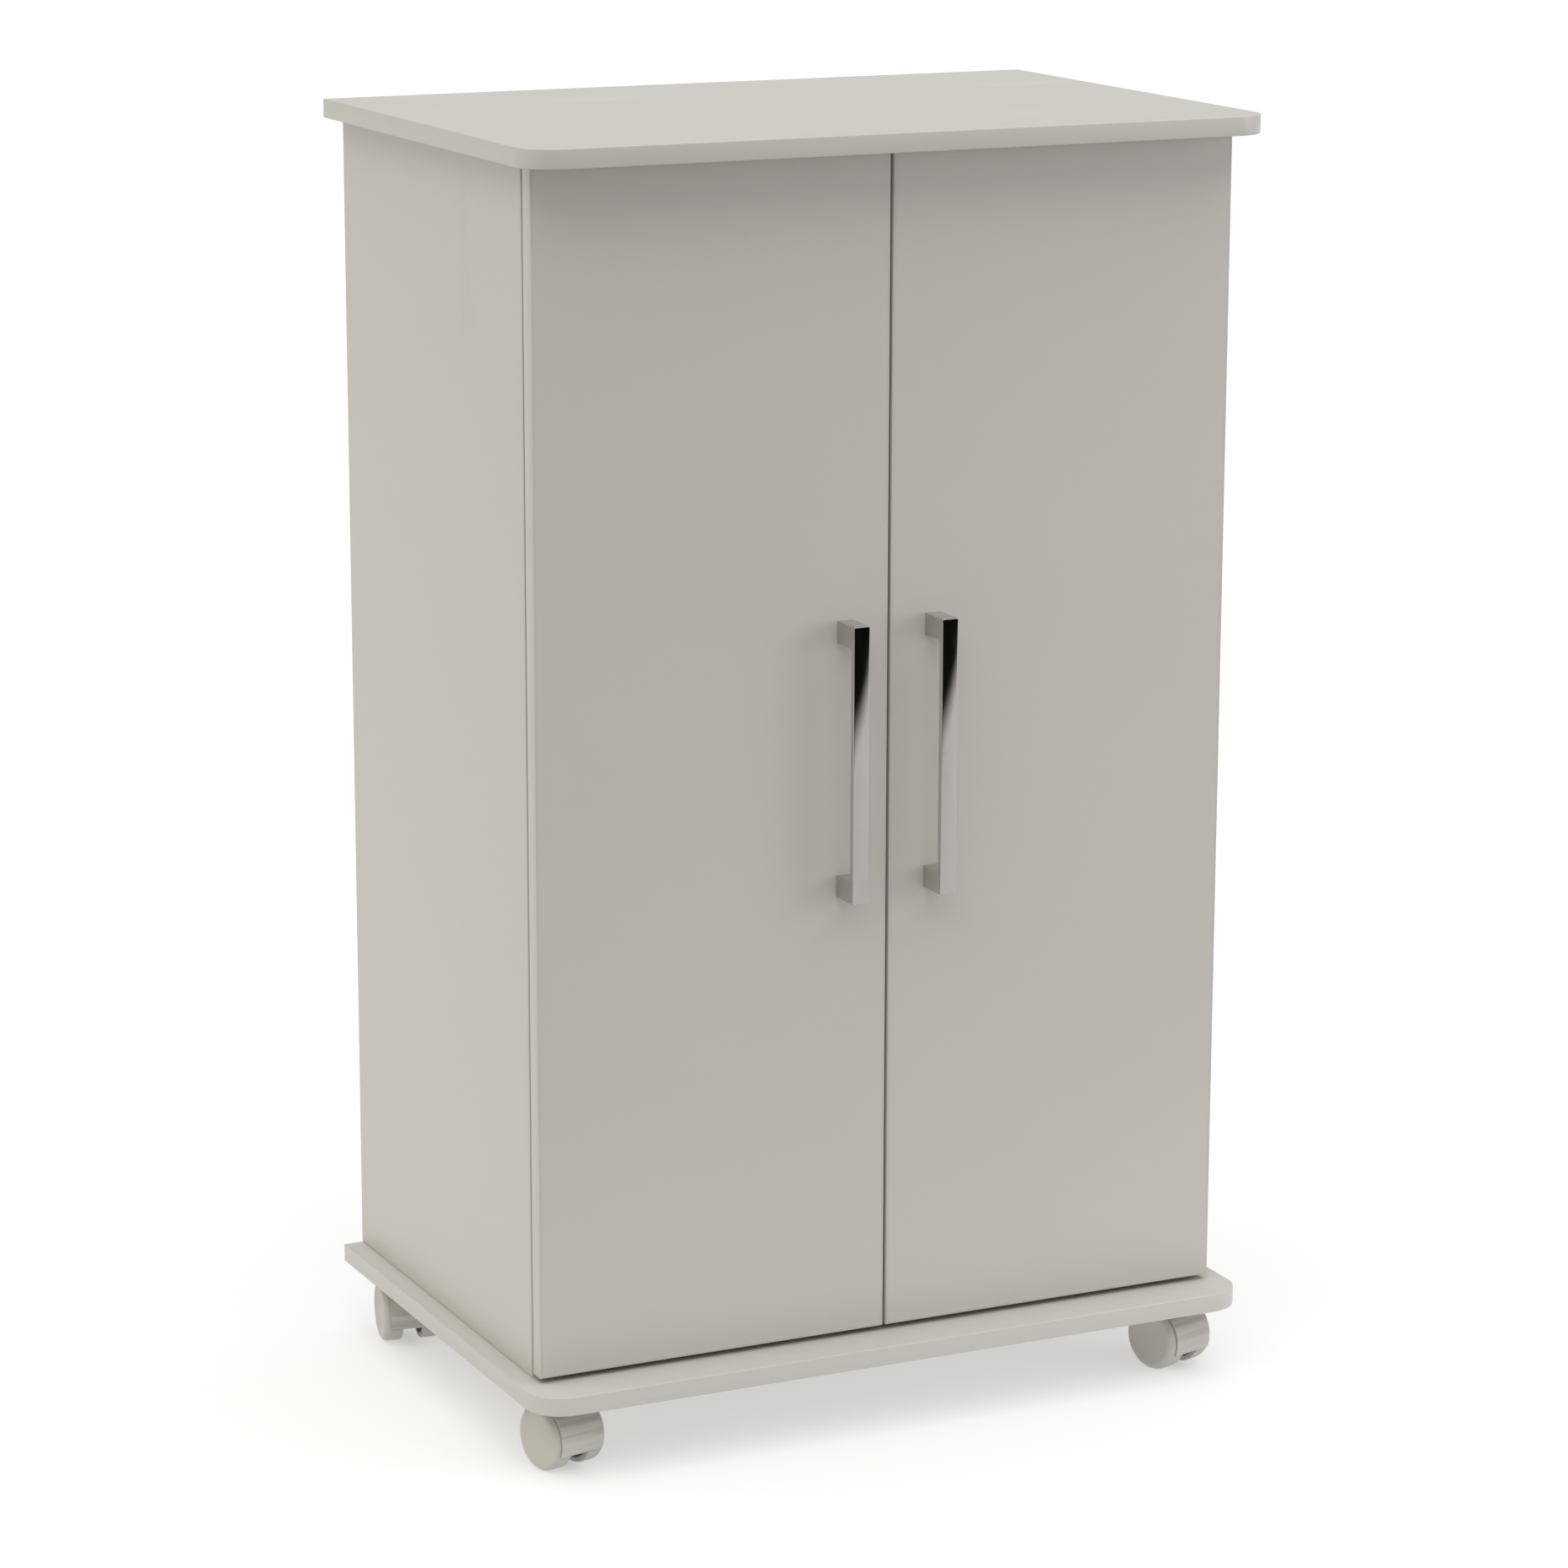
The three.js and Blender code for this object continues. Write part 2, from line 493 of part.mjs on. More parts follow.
// The hood is a thin arched shell over the treads of both wheels, with a web between
// the wheels that holds the axle and the kingpin's socket.
function casterHood() {
  const lip = -Math.asin((WHEEL_RADIUS - HOOD_LIP_HEIGHT) / HOOD_OUTER_RADIUS);
  const heel = Math.PI - Math.asin((SOCKET_BOTTOM - WHEEL_RADIUS) / HOOD_OUTER_RADIUS);
  const arch = new THREE.Shape();
  arch.absarc(TRAIL, WHEEL_RADIUS, HOOD_OUTER_RADIUS, lip, heel, false);
  arch.absarc(TRAIL, WHEEL_RADIUS, HOOD_INNER_RADIUS, heel, lip, true);
  arch.closePath();
  const web = new THREE.Shape();
  web.absarc(TRAIL, WHEEL_RADIUS, HOOD_INNER_RADIUS + HOOD_WALL / 2, Math.PI / 4, heel, false);
  web.absarc(TRAIL, WHEEL_RADIUS, WEB_RADIUS, heel, 2 * Math.PI + Math.PI / 4, false);
  web.closePath();
  const solid = join(
    acrossWheels(arch, HOOD_WIDTH, 14),
    acrossWheels(web, WEB, 7),
    rodUp(0, 0, SOCKET_RADIUS, SOCKET_BOTTOM, SWIVEL_HEAD_TOP),
    rodUp(0, 0, SWIVEL_HEAD_RADIUS, WHEEL_RADIUS * 2 + RUNNING_GAP, SWIVEL_HEAD_TOP, 16),
  );
  return toGeometry(cut(solid,
    rodUp(0, 0, KINGPIN_RADIUS + RUNNING_GAP, SOCKET_BOTTOM + KINGPIN_RADIUS, SWIVEL_HEAD_TOP + 1),
    rodAlongX(-WEB, WEB, -TRAIL, WHEEL_RADIUS, AXLE_RADIUS + HOLE_GAP),
  ));
}

// One wheel: a flat outer face, a rounded outer rim and a blind hub bore from the inner face.
function casterWheel(side) {
  const inner = WHEEL_SLOT / 2;
  const boreEnd = WHEEL_OUTER - AXLE_STOP;
  const bore = AXLE_RADIUS + HOLE_GAP;
  const profile = [new THREE.Vector2(0, boreEnd), new THREE.Vector2(bore, boreEnd),
    new THREE.Vector2(bore, inner), new THREE.Vector2(WHEEL_RADIUS, inner)];
  const rimSteps = 3;
  for (let step = 0; step <= rimSteps; step += 1) {
    const angle = (step / rimSteps) * Math.PI / 2;
    profile.push(new THREE.Vector2(
      WHEEL_RADIUS - WHEEL_EDGE_RADIUS * (1 - Math.cos(angle)),
      WHEEL_OUTER - WHEEL_EDGE_RADIUS * (1 - Math.sin(angle))));
  }
  profile.push(new THREE.Vector2(0, WHEEL_OUTER));
  const wheel = new THREE.LatheGeometry(profile, 28);
  // The lathe's axis is +Y: it is laid along the axle, outwards on the wheel's own side.
  return wheel.rotateZ(-side * Math.PI / 2).translate(0, -TRAIL, WHEEL_RADIUS);
}

function buildCasters() {
  for (const { name, x, y, turn } of CASTERS) {
    part(`caster_${name}_plate`, 'zinc', casterPlate(x, y));
    const swivel = new THREE.Group();
    swivel.position.set(x, y, 0);
    swivel.rotation.z = THREE.MathUtils.degToRad(turn);
    cabinet.add(swivel);
    const axleEnd = WHEEL_OUTER - AXLE_STOP - RUNNING_GAP;
    part(`caster_${name}_hood`, 'casterPlastic', casterHood(), swivel);
    const axle = rodAlongX(-axleEnd, axleEnd, -TRAIL, WHEEL_RADIUS, AXLE_RADIUS);
    part(`caster_${name}_axle`, 'zinc', axle, swivel);
    part(`caster_${name}_wheel_left`, 'casterPlastic', casterWheel(-1), swivel);
    part(`caster_${name}_wheel_right`, 'casterPlastic', casterWheel(1), swivel);
  }
}

buildCarcass();
buildShelfPins();
buildDoors();
buildHinges();
buildBumpers();
buildCasters();

export default cabinet;
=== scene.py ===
# %% [markdown]
# # A mobile bedside cabinet
# The imported CAD model is loaded first and stays as it is. It gives every size and place used
# below: each lesson cell makes a finer piece where a CAD node stands.

# %% Load the frame
import json
import math
from contextlib import contextmanager

import bmesh
import bpy
from mathutils import Matrix, Vector


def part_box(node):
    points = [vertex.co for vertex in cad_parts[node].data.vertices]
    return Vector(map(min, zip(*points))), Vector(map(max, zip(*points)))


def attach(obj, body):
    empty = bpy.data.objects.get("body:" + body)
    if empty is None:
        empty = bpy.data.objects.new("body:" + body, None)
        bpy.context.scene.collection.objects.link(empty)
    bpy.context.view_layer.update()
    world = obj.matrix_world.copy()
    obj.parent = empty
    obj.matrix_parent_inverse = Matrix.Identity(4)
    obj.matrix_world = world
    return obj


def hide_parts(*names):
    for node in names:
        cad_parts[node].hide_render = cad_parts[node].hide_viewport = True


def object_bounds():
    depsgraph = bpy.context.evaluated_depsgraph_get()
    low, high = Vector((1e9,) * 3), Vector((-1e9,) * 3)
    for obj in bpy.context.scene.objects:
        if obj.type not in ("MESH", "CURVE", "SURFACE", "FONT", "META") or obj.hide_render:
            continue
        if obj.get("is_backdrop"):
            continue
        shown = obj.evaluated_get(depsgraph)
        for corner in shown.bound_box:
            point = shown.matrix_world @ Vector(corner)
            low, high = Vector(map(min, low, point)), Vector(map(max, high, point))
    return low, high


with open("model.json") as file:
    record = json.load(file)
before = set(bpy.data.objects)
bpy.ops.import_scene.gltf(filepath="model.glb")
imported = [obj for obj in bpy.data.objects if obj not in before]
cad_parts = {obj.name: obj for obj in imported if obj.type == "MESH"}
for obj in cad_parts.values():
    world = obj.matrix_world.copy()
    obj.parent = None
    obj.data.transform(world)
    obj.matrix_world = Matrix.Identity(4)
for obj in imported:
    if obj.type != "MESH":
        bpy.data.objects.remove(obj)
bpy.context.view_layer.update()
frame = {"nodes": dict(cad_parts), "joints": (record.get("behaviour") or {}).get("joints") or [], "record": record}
MM = 0.001
JOINTS = {joint["name"]: joint for joint in frame["joints"]}
BODY_OF = {node: body for body, nodes in frame["record"]["behaviour"]["bodies"].items() for node in nodes}

# %% [markdown]
# ## The camera
# A product picture is taken from far off with a long lens, so the uprights stay almost parallel.
# The camera stands to the left, a little above the cabinet's top, and looks down at its middle.

# %% Camera
LENS = 115.71
EYE = Vector((-1.71935, -3.58148, 1.42114))
AZIMUTH, ELEVATION, ROLL = (math.radians(angle) for angle in (-25.563, 13.277, 0.14))

camera_data = bpy.data.cameras.new("camera")
camera_data.lens = LENS
camera_data.sensor_width = 36
camera = bpy.data.objects.new("camera", camera_data)
bpy.context.scene.collection.objects.link(camera)
backward = Vector((math.sin(AZIMUTH) * math.cos(ELEVATION), -math.cos(AZIMUTH) * math.cos(ELEVATION),
                   math.sin(ELEVATION)))
camera.location = EYE
camera.rotation_euler = ((-backward).to_track_quat("-Z", "Y").to_matrix()
                         @ Matrix.Rotation(ROLL, 3, "Z")).to_euler()
bpy.context.scene.camera = camera
bpy.context.scene.view_settings.view_transform = "Standard"
print("camera at", tuple(EYE), "lens", LENS)

# %% [markdown]
# ## Helpers for modelling
# Every operator acts on what is selected, and a fresh import leaves everything selected. So each
# helper first clears the selection, and faces and edges are then picked by where they are.

# %% Selection helpers
PARALLEL, SQUARE = 0.9, 0.1     # how closely a unit vector must follow an axis, or stay off it


def make_active(piece):
    bpy.ops.object.select_all(action="DESELECT")
    piece.select_set(True)
    bpy.context.view_layer.objects.active = piece


@contextmanager
def editing(piece):
    make_active(piece)
    bpy.ops.object.mode_set(mode="EDIT")
    bpy.ops.mesh.select_all(action="DESELECT")
    yield
    bpy.ops.object.mode_set(mode="OBJECT")


def pick(piece, kind, test):
    """Selects faces by (middle, normal), edges by (middle, direction) or corners by (place, None)."""
    bpy.ops.mesh.select_mode(type=kind)
    bpy.ops.mesh.select_all(action="DESELECT")
    mesh = bmesh.from_edit_mesh(piece.data)
    if kind == "FACE":
        for face in mesh.faces:
            face.select_set(bool(test(face.calc_center_median(), face.normal)))
    elif kind == "EDGE":
        for edge in mesh.edges:
            a, b = (corner.co for corner in edge.verts)
            edge.select_set(bool(test((a + b) / 2, (b - a).normalized())))
    else:
        for corner in mesh.verts:
            corner.select_set(bool(test(corner.co, None)))
    bmesh.update_edit_mesh(piece.data)


def near(a, b, reach=1e-5):
    return abs(a - b) < reach


# %% Starting shapes and finishing
def settle(piece):
    make_active(piece)
    bpy.ops.object.transform_apply(location=True, rotation=True, scale=True)
    return piece


def new_box(name, low, high):
    bpy.ops.object.select_all(action="DESELECT")
    low, high = Vector(low), Vector(high)
    bpy.ops.mesh.primitive_cube_add(size=1, location=(low + high) / 2)
    piece = bpy.context.active_object
    piece.name = piece.data.name = name
    piece.scale = high - low
    return settle(piece)


AXIS_TURN = {"x": (0, math.pi / 2, 0), "y": (math.pi / 2, 0, 0), "z": (0, 0, 0)}


def new_rod(name, middle, radius, length, axis, corners=48, ends="NGON"):
    bpy.ops.object.select_all(action="DESELECT")
    bpy.ops.mesh.primitive_cylinder_add(vertices=corners, radius=radius, depth=length, location=middle,
                                        rotation=AXIS_TURN[axis], end_fill_type=ends)
    piece = bpy.context.active_object
    piece.name = piece.data.name = name
    return settle(piece)


def modify(piece, kind, **settings):
    make_active(piece)
    modifier = piece.modifiers.new(kind.lower(), kind)
    for key, value in settings.items():
        setattr(modifier, key, value)
    bpy.ops.object.modifier_apply(modifier=modifier.name)


def smooth(piece, degrees=30):
    make_active(piece)
    bpy.ops.object.shade_smooth_by_angle(angle=math.radians(degrees))


def ease_edges(piece, width, segments=2, degrees=40):
    """Rounds every sharp edge a little, as on any real moulding, casting or board."""
    modify(piece, "BEVEL", width=width, segments=segments, limit_method="ANGLE",
           angle_limit=math.radians(degrees), use_clamp_overlap=True)
    smooth(piece)
    modify(piece, "WEIGHTED_NORMAL", keep_sharp=True)


def carve(piece, tool, operation="DIFFERENCE"):
    modify(piece, "BOOLEAN", object=tool, operation=operation, solver="EXACT")
    mesh = tool.data
    bpy.data.objects.remove(tool)
    bpy.data.meshes.remove(mesh)


def merge_pieces(pieces, name):
    bpy.ops.object.select_all(action="DESELECT")
    for piece in pieces:
        piece.select_set(True)
    bpy.context.view_layer.objects.active = pieces[0]
    bpy.ops.object.join()
    pieces[0].name = pieces[0].data.name = name
    return pieces[0]


def copy_piece(piece, name, place):
    """A copy with its own mesh, carried to its place inside the mesh."""
    twin = piece.copy()
    twin.data = piece.data.copy()
    twin.name = twin.data.name = name
    bpy.context.scene.collection.objects.link(twin)
    twin.data.transform(place)
    if place.determinant() < 0:
        twin.data.flip_normals()
    return twin


def discard(piece):
    mesh = piece.data
    bpy.data.objects.remove(piece)
    bpy.data.meshes.remove(mesh)


def dress(piece, material, node=None, body=None, slot=None):
    """Gives a finished piece its material and the body it rides on, and hides the node it stands for."""
    if material is not None:
        piece.data.materials.clear()
        piece.data.materials.append(material)
    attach(piece, body or BODY_OF[node])
    if node:
        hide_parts(node)
    return piece


# %% [markdown]
# ## Helpers for materials
# A shader is easier to read as arithmetic. `Wire` wraps a socket, so that `1 - mask * 0.2` adds the
# Math nodes by itself, and `Finish.node` adds any other node from its type, settings and inputs.

# %% Shader arithmetic
class Wire:
    """The value of one socket, for use in Python expressions."""

    def __init__(self, finish, socket):
        self.finish, self.socket = finish, socket

    def __add__(self, other):
        return self.finish.math("ADD", self, other)

    def __sub__(self, other):
        return self.finish.math("SUBTRACT", self, other)

    def __rsub__(self, other):
        return self.finish.math("SUBTRACT", other, self)

    def __mul__(self, other):
        return self.finish.math("MULTIPLY", self, other)

    __radd__ = __add__
    __rmul__ = __mul__


class Finish:
    """One material's node tree, built around a Principled shader."""

    def __init__(self, name, **constants):
        self.material = bpy.data.materials.new(name)
        self.material.use_nodes = True
        self.tree = self.material.node_tree
        self.shader = self.tree.nodes["Principled BSDF"]
        self.place = self.node("ShaderNodeTexCoord").out("Object")
        for socket, value in constants.items():
            self.shader.inputs[socket.replace("_", " ")].default_value = value

    def feed(self, socket, value):
        if isinstance(value, Wire):
            self.tree.links.new(value.socket, socket)
        else:
            socket.default_value = value

    def node(self, kind, settings=None, inputs=None):
        made = self.tree.nodes.new(kind)
        for key, value in (settings or {}).items():
            setattr(made, key, value)
        for key, value in (inputs or {}).items():
            self.feed(made.inputs[key], value)
        made_wire = Wire(self, made.outputs[0])
        made_wire.out = lambda key: Wire(self, made.outputs[key])
        return made_wire

    def math(self, operation, *values):
        return self.node("ShaderNodeMath", {"operation": operation}, dict(enumerate(values)))

    def noise(self, scale, detail=2.0, roughness=0.5, stretch=(1, 1, 1)):
        place = self.node("ShaderNodeMapping", {"vector_type": "POINT"},
                          {"Vector": self.place, "Scale": stretch})
        return self.node("ShaderNodeTexNoise", {"noise_dimensions": "3D"},
                         {"Vector": place, "Scale": scale, "Detail": detail, "Roughness": roughness})

    def step(self, value, low, high):
        """Rises smoothly from 0 at low to 1 at high."""
        return self.node("ShaderNodeMapRange", {"interpolation_type": "SMOOTHSTEP", "clamp": True},
                         {"Value": value, "From Min": low, "From Max": high})

    def mix(self, amount, first, second):
        return self.node("ShaderNodeMix", {"data_type": "RGBA", "clamp_factor": True},
                         {0: amount, 6: first, 7: second}).out(2)

    def set(self, **values):
        for socket, value in values.items():
            self.feed(self.shader.inputs[socket.replace("_", " ")], value)

    def bump(self, height, distance, strength=1.0):
        self.set(Normal=self.node("ShaderNodeBump", None,
                                  {"Height": height, "Distance": distance, "Strength": strength}))


def tone(colour, factor):
    return tuple(channel * factor for channel in colour[:3]) + (1.0,)


# %% [markdown]
# ## The finishes
# Melamine is a printed paper pressed hard onto chipboard under a finely textured plate. Up close it
# has a pearly surface, at arm's length its tone wanders by a percent or two, and years of wiping
# leave a few faint marks. The edge band is a plastic strip: the same colour, a touch smoother,
# with the fine lines of the machine that trimmed it.

# %% Melamine and its edge band
BOARD_COLOUR = (0.536, 0.515, 0.482)


def melamine(name, colour=BOARD_COLOUR):
    finish = Finish(name, IOR=1.5)
    cloud = finish.noise(4.5, 3, 0.55)
    speckle = finish.noise(520, 2, 0.6)
    wipe = finish.step(finish.noise(9, 4, 0.7, (0.35, 1, 0.35)), 0.60, 0.72)
    tint = finish.mix(cloud, tone(colour, 0.978), tone(colour, 1.022))
    tint = finish.mix(speckle * 0.35, tint, tone(colour, 0.955))
    tint = finish.mix(wipe * 0.25, tint, tone(colour, 0.972))
    finish.set(Base_Color=tint, Roughness=0.40 + cloud * 0.07 + wipe * 0.09)
    pearl = finish.noise(1400, 2, 0.5) + finish.noise(380, 2, 0.5) * 0.6
    finish.bump(pearl, 0.00006, 0.55)
    return finish.material


def edge_band(name, along):
    finish = Finish(name, IOR=1.48)
    across = tuple(6.0 if axis != along else 0.15 for axis in range(3))
    lines = finish.noise(240, 2, 0.6, across)
    cloud = finish.noise(6, 2)
    tint = finish.mix(cloud, tone(BOARD_COLOUR, 0.965), tone(BOARD_COLOUR, 1.01))
    tint = finish.mix(lines * 0.3, tint, tone(BOARD_COLOUR, 0.94))
    finish.set(Base_Color=tint, Roughness=0.33 + lines * 0.12)
    finish.bump(lines, 0.00005, 0.4)
    return finish.material


MELAMINE = melamine("melamine")
BAND_ALONG = {axis: edge_band(f"edge_band_{'xyz'[axis]}", axis) for axis in range(3)}

# %% [markdown]
# Chrome plate shows almost only what stands round it, so its own detail is in the polish: faint
# smears from hands and hair-thin scratches. Nickel on the hinges is duller, with a rolled grain.

# %% Metals
def chrome():
    finish = Finish("polished_chrome", Metallic=1.0)
    smear = finish.step(finish.noise(42, 4, 0.6, (1, 1, 0.4)), 0.42, 0.75)
    hair = finish.step(finish.noise(900, 2, 0.5, (3, 3, 0.05)), 0.62, 0.78)
    finish.set(Base_Color=finish.mix(smear, (0.61, 0.597, 0.572, 1), (0.575, 0.562, 0.54, 1)),
               Roughness=0.025 + smear * 0.03 + hair * 0.05)
    finish.bump(hair, 0.000004, 0.3)
    return finish.material


def nickel():
    finish = Finish("nickel_plate", Metallic=1.0)
    grain = finish.noise(700, 3, 0.6, (1, 1, 0.06))
    cloud = finish.noise(60, 3)
    finish.set(Base_Color=finish.mix(cloud, (0.56, 0.56, 0.55, 1), (0.68, 0.68, 0.66, 1)),
               Roughness=0.24 + grain * 0.16 + cloud * 0.06)
    finish.bump(grain, 0.00001, 0.4)
    return finish.material


CHROME = chrome()
NICKEL = nickel()

# %% [markdown]
# The casters are moulded in a plastic that matches the boards. Its skin is finely spark-eroded, and
# the treads and rims, which carry a `wear` value in their mesh, pick up a little grey from floors.

# %% Plastics, hardboard and bumpers
def caster_plastic():
    finish = Finish("caster_plastic", IOR=1.49)
    wear = finish.node("ShaderNodeAttribute", {"attribute_name": "wear"}).out("Fac")
    cloud = finish.noise(70, 3, 0.6)
    grit = finish.noise(1700, 2, 0.6)
    rubbed = wear * (0.45 + cloud * 0.55)
    tint = finish.mix(cloud, (0.475, 0.460, 0.420, 1), (0.510, 0.494, 0.452, 1))
    tint = finish.mix(rubbed * 0.35, tint, (0.36, 0.345, 0.32, 1))
    finish.set(Base_Color=tint, Roughness=0.42 + grit * 0.12 + rubbed * 0.18)
    finish.bump(grit, 0.00007, 0.45)
    return finish.material


def hardboard():
    finish = Finish("painted_hardboard", IOR=1.48)
    mesh = finish.noise(420, 2, 0.5, (1, 1, 0.3)) + finish.noise(420, 2, 0.5, (0.3, 1, 1))
    cloud = finish.noise(5, 3)
    finish.set(Base_Color=finish.mix(cloud, tone(BOARD_COLOUR, 0.97), tone(BOARD_COLOUR, 1.06)),
               Roughness=0.55 + mesh * 0.08)
    finish.bump(mesh, 0.0001, 0.5)
    return finish.material


def soft_bumper():
    finish = Finish("soft_bumper", IOR=1.45, Subsurface_Weight=0.3, Subsurface_Scale=0.002)
    cloud = finish.noise(300, 2)
    finish.set(Base_Color=finish.mix(cloud, (0.70, 0.69, 0.66, 1), (0.78, 0.77, 0.74, 1)),
               Roughness=0.36 + cloud * 0.1)
    return finish.material


CASTER_PLASTIC = caster_plastic()
HARDBOARD = hardboard()
BUMPER = soft_bumper()
print(len(bpy.data.materials), "materials made")

# %% [markdown]
# ## The boards
# Each board starts as a box the size of its node. Its face is inset twice to sink a hair-fine seam
# one band's thickness from the edge, where the strip meets the printed face, and its arrises are
# eased, because a trimmed band is never knife sharp. Faces square to the thickness get melamine,
# the others the band that runs along them.

# %% Board maker
BAND = 1.0 * MM
SEAM = 0.22 * MM
SEAM_DEPTH = 0.14 * MM
ARRIS = 0.7 * MM
FLAT = 0.999                    # a face this square to the thickness is the broad face itself
SMALLEST_FIELD = 0.004          # square metres; the strips outside the seam are smaller


def sink_seams(piece, thick):
    """Insets both broad faces and presses a fine groove round them."""
    for sign in (-1, 1):
        with editing(piece):
            pick(piece, "FACE", lambda middle, normal: normal[thick] * sign > FLAT)
            bpy.ops.mesh.inset(thickness=BAND)
            bpy.ops.mesh.inset(thickness=SEAM / 2, depth=-SEAM_DEPTH)
            bpy.ops.mesh.inset(thickness=SEAM / 2, depth=SEAM_DEPTH)


def skin_board(piece, thick, band_axis):
    """Melamine on the broad faces inside the seam, band material outside it."""
    piece.data.materials.clear()
    piece.data.materials.append(MELAMINE)
    piece.data.materials.append(BAND_ALONG[band_axis])
    for face in piece.data.polygons:
        broad = abs(face.normal[thick]) > PARALLEL and face.area > SMALLEST_FIELD
        face.material_index = 0 if broad else 1


def board(node, thick, band_axis, corner_radius=0.0):
    low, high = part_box(node)
    piece = new_box(f"{node}_board", low, high)
    if corner_radius:
        with editing(piece):
            pick(piece, "EDGE", lambda middle, along: abs(along.z) > PARALLEL and near(middle.y, low.y))
            bpy.ops.mesh.bevel(offset=corner_radius, segments=20, affect="EDGES")
    with editing(piece):
        pick(piece, "EDGE", lambda middle, along: abs(along[thick]) < SQUARE)
        bpy.ops.mesh.bevel(offset=ARRIS, segments=3, affect="EDGES")
    sink_seams(piece, thick)
    return piece


# %% [markdown]
# The top and the base are one pattern: square at the back and rounded at the two front corners, so
# that nobody bruises a hip on them. Bevelling the two upright front edges of the box by the corner
# radius gives the round.

# %% Top and base
CORNER_RADIUS = 30 * MM
X, Y, Z = range(3)


def finish_board(piece, node, thick, band_axis):
    skin_board(piece, thick, band_axis)
    smooth(piece)
    dress(piece, None, node)
    print(piece.name, len(piece.data.polygons), "faces")


for node in ("top_panel", "base_panel"):
    finish_board(board(node, Z, X, CORNER_RADIUS), node, Z, X)

# %% [markdown]
# The sides carry rows of drilled holes for shelf pins. One cutter of joined pegs goes through a
# boolean, which leaves clean round holes. Their places come from the pins that the frame holds.

# %% Sides and shelves
PIN_PITCH = 32 * MM
PIN_HOLE_RADIUS = 2.75 * MM
PIN_HOLE_DEPTH = 8.25 * MM
HOLES_EACH_WAY = 2


def pin_holes(side, face_x):
    pegs = []
    for row in ("front", "back"):
        low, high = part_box(f"shelf_pin_{side}_{row}")
        middle = (low + high) / 2
        for step in range(-HOLES_EACH_WAY, HOLES_EACH_WAY + 1):
            place = (face_x, middle.y, middle.z + step * PIN_PITCH)
            pegs.append(new_rod("peg", place, PIN_HOLE_RADIUS, 2 * PIN_HOLE_DEPTH, "x", 20))
    return merge_pieces(pegs, "pegs")


for side, sign in (("left", -1), ("right", 1)):
    node = f"side_panel_{side}"
    piece = board(node, X, Z)
    low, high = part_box(node)
    carve(piece, pin_holes(side, high.x if sign < 0 else low.x))
    finish_board(piece, node, X, Z)

for node in ("fixed_shelf", "adjustable_shelf"):
    finish_board(board(node, Z, X), node, Z, X)

# %% [markdown]
# The back is a thin painted hardboard sheet. Its two broad faces are inset, so that the paint has
# a border to follow, and its edges are eased.

# %% Back
BACK_BORDER = 4 * MM
low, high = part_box("back_panel")
piece = new_box("back_sheet", low, high)
with editing(piece):
    pick(piece, "FACE", lambda middle, normal: abs(normal.y) > PARALLEL)
    bpy.ops.mesh.inset(thickness=BACK_BORDER)
ease_edges(piece, 0.4 * MM)
dress(piece, HARDBOARD, "back_panel")

# %% [markdown]
# ## The doors
# A door is a board banded on all four edges, bored from behind for two hinge cups and drilled
# for the two screws of its pull. The places of the holes come from the hinges and the screws.

# %% Doors
CUP_FROM_PIVOT = 11.45 * MM
CUP_BORE_RADIUS, CUP_BORE_CLEARANCE = 17.8 * MM, 0.3 * MM
SCREW_HOLE_RADIUS, SCREW_HOLE_LENGTH = 2.25 * MM, 30 * MM
for side, sign in (("left", -1), ("right", 1)):
    node = f"{side}_door"
    low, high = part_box(node)
    piece = board(node, Y, Z)
    tools = []
    for level in ("upper", "lower"):
        cup_low, cup_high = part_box(f"{side}_hinge_cup_{level}")
        cup = (cup_low + cup_high) / 2
        depth = high.y - cup_low.y + CUP_BORE_CLEARANCE
        cup_x = JOINTS[f"{side}_door_swing"]["pos_m"][0] - sign * CUP_FROM_PIVOT
        tools.append(new_rod("bore", (cup_x, high.y, cup.z), CUP_BORE_RADIUS, 2 * depth, "y", 64))
        screw_low, screw_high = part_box(f"{side}_handle_screw_{level}")
        screw = (screw_low + screw_high) / 2
        tools.append(new_rod("bore", (screw.x, (low.y + high.y) / 2, screw.z), SCREW_HOLE_RADIUS,
                             SCREW_HOLE_LENGTH, "y", 20))
    carve(piece, merge_pieces(tools, "bores"))
    finish_board(piece, node, Y, Z)

# %% [markdown]
# ## The pulls
# Each pull is a flat bar with a post at each end. The bar starts as a box, is bisected where the
# posts begin, and its back is extruded there. The inner corners are filleted and the front is
# crowned: a hollow-ground look that makes reflections slide across it.

# %% Pulls
BAR_THICKNESS = 5.5 * MM
POST_HEIGHT = 17.5 * MM
POST_FILLET = 3 * MM
CROWN = 0.24 * MM
CROWN_STRIPS = 10
PULL_EASING = 0.45 * MM


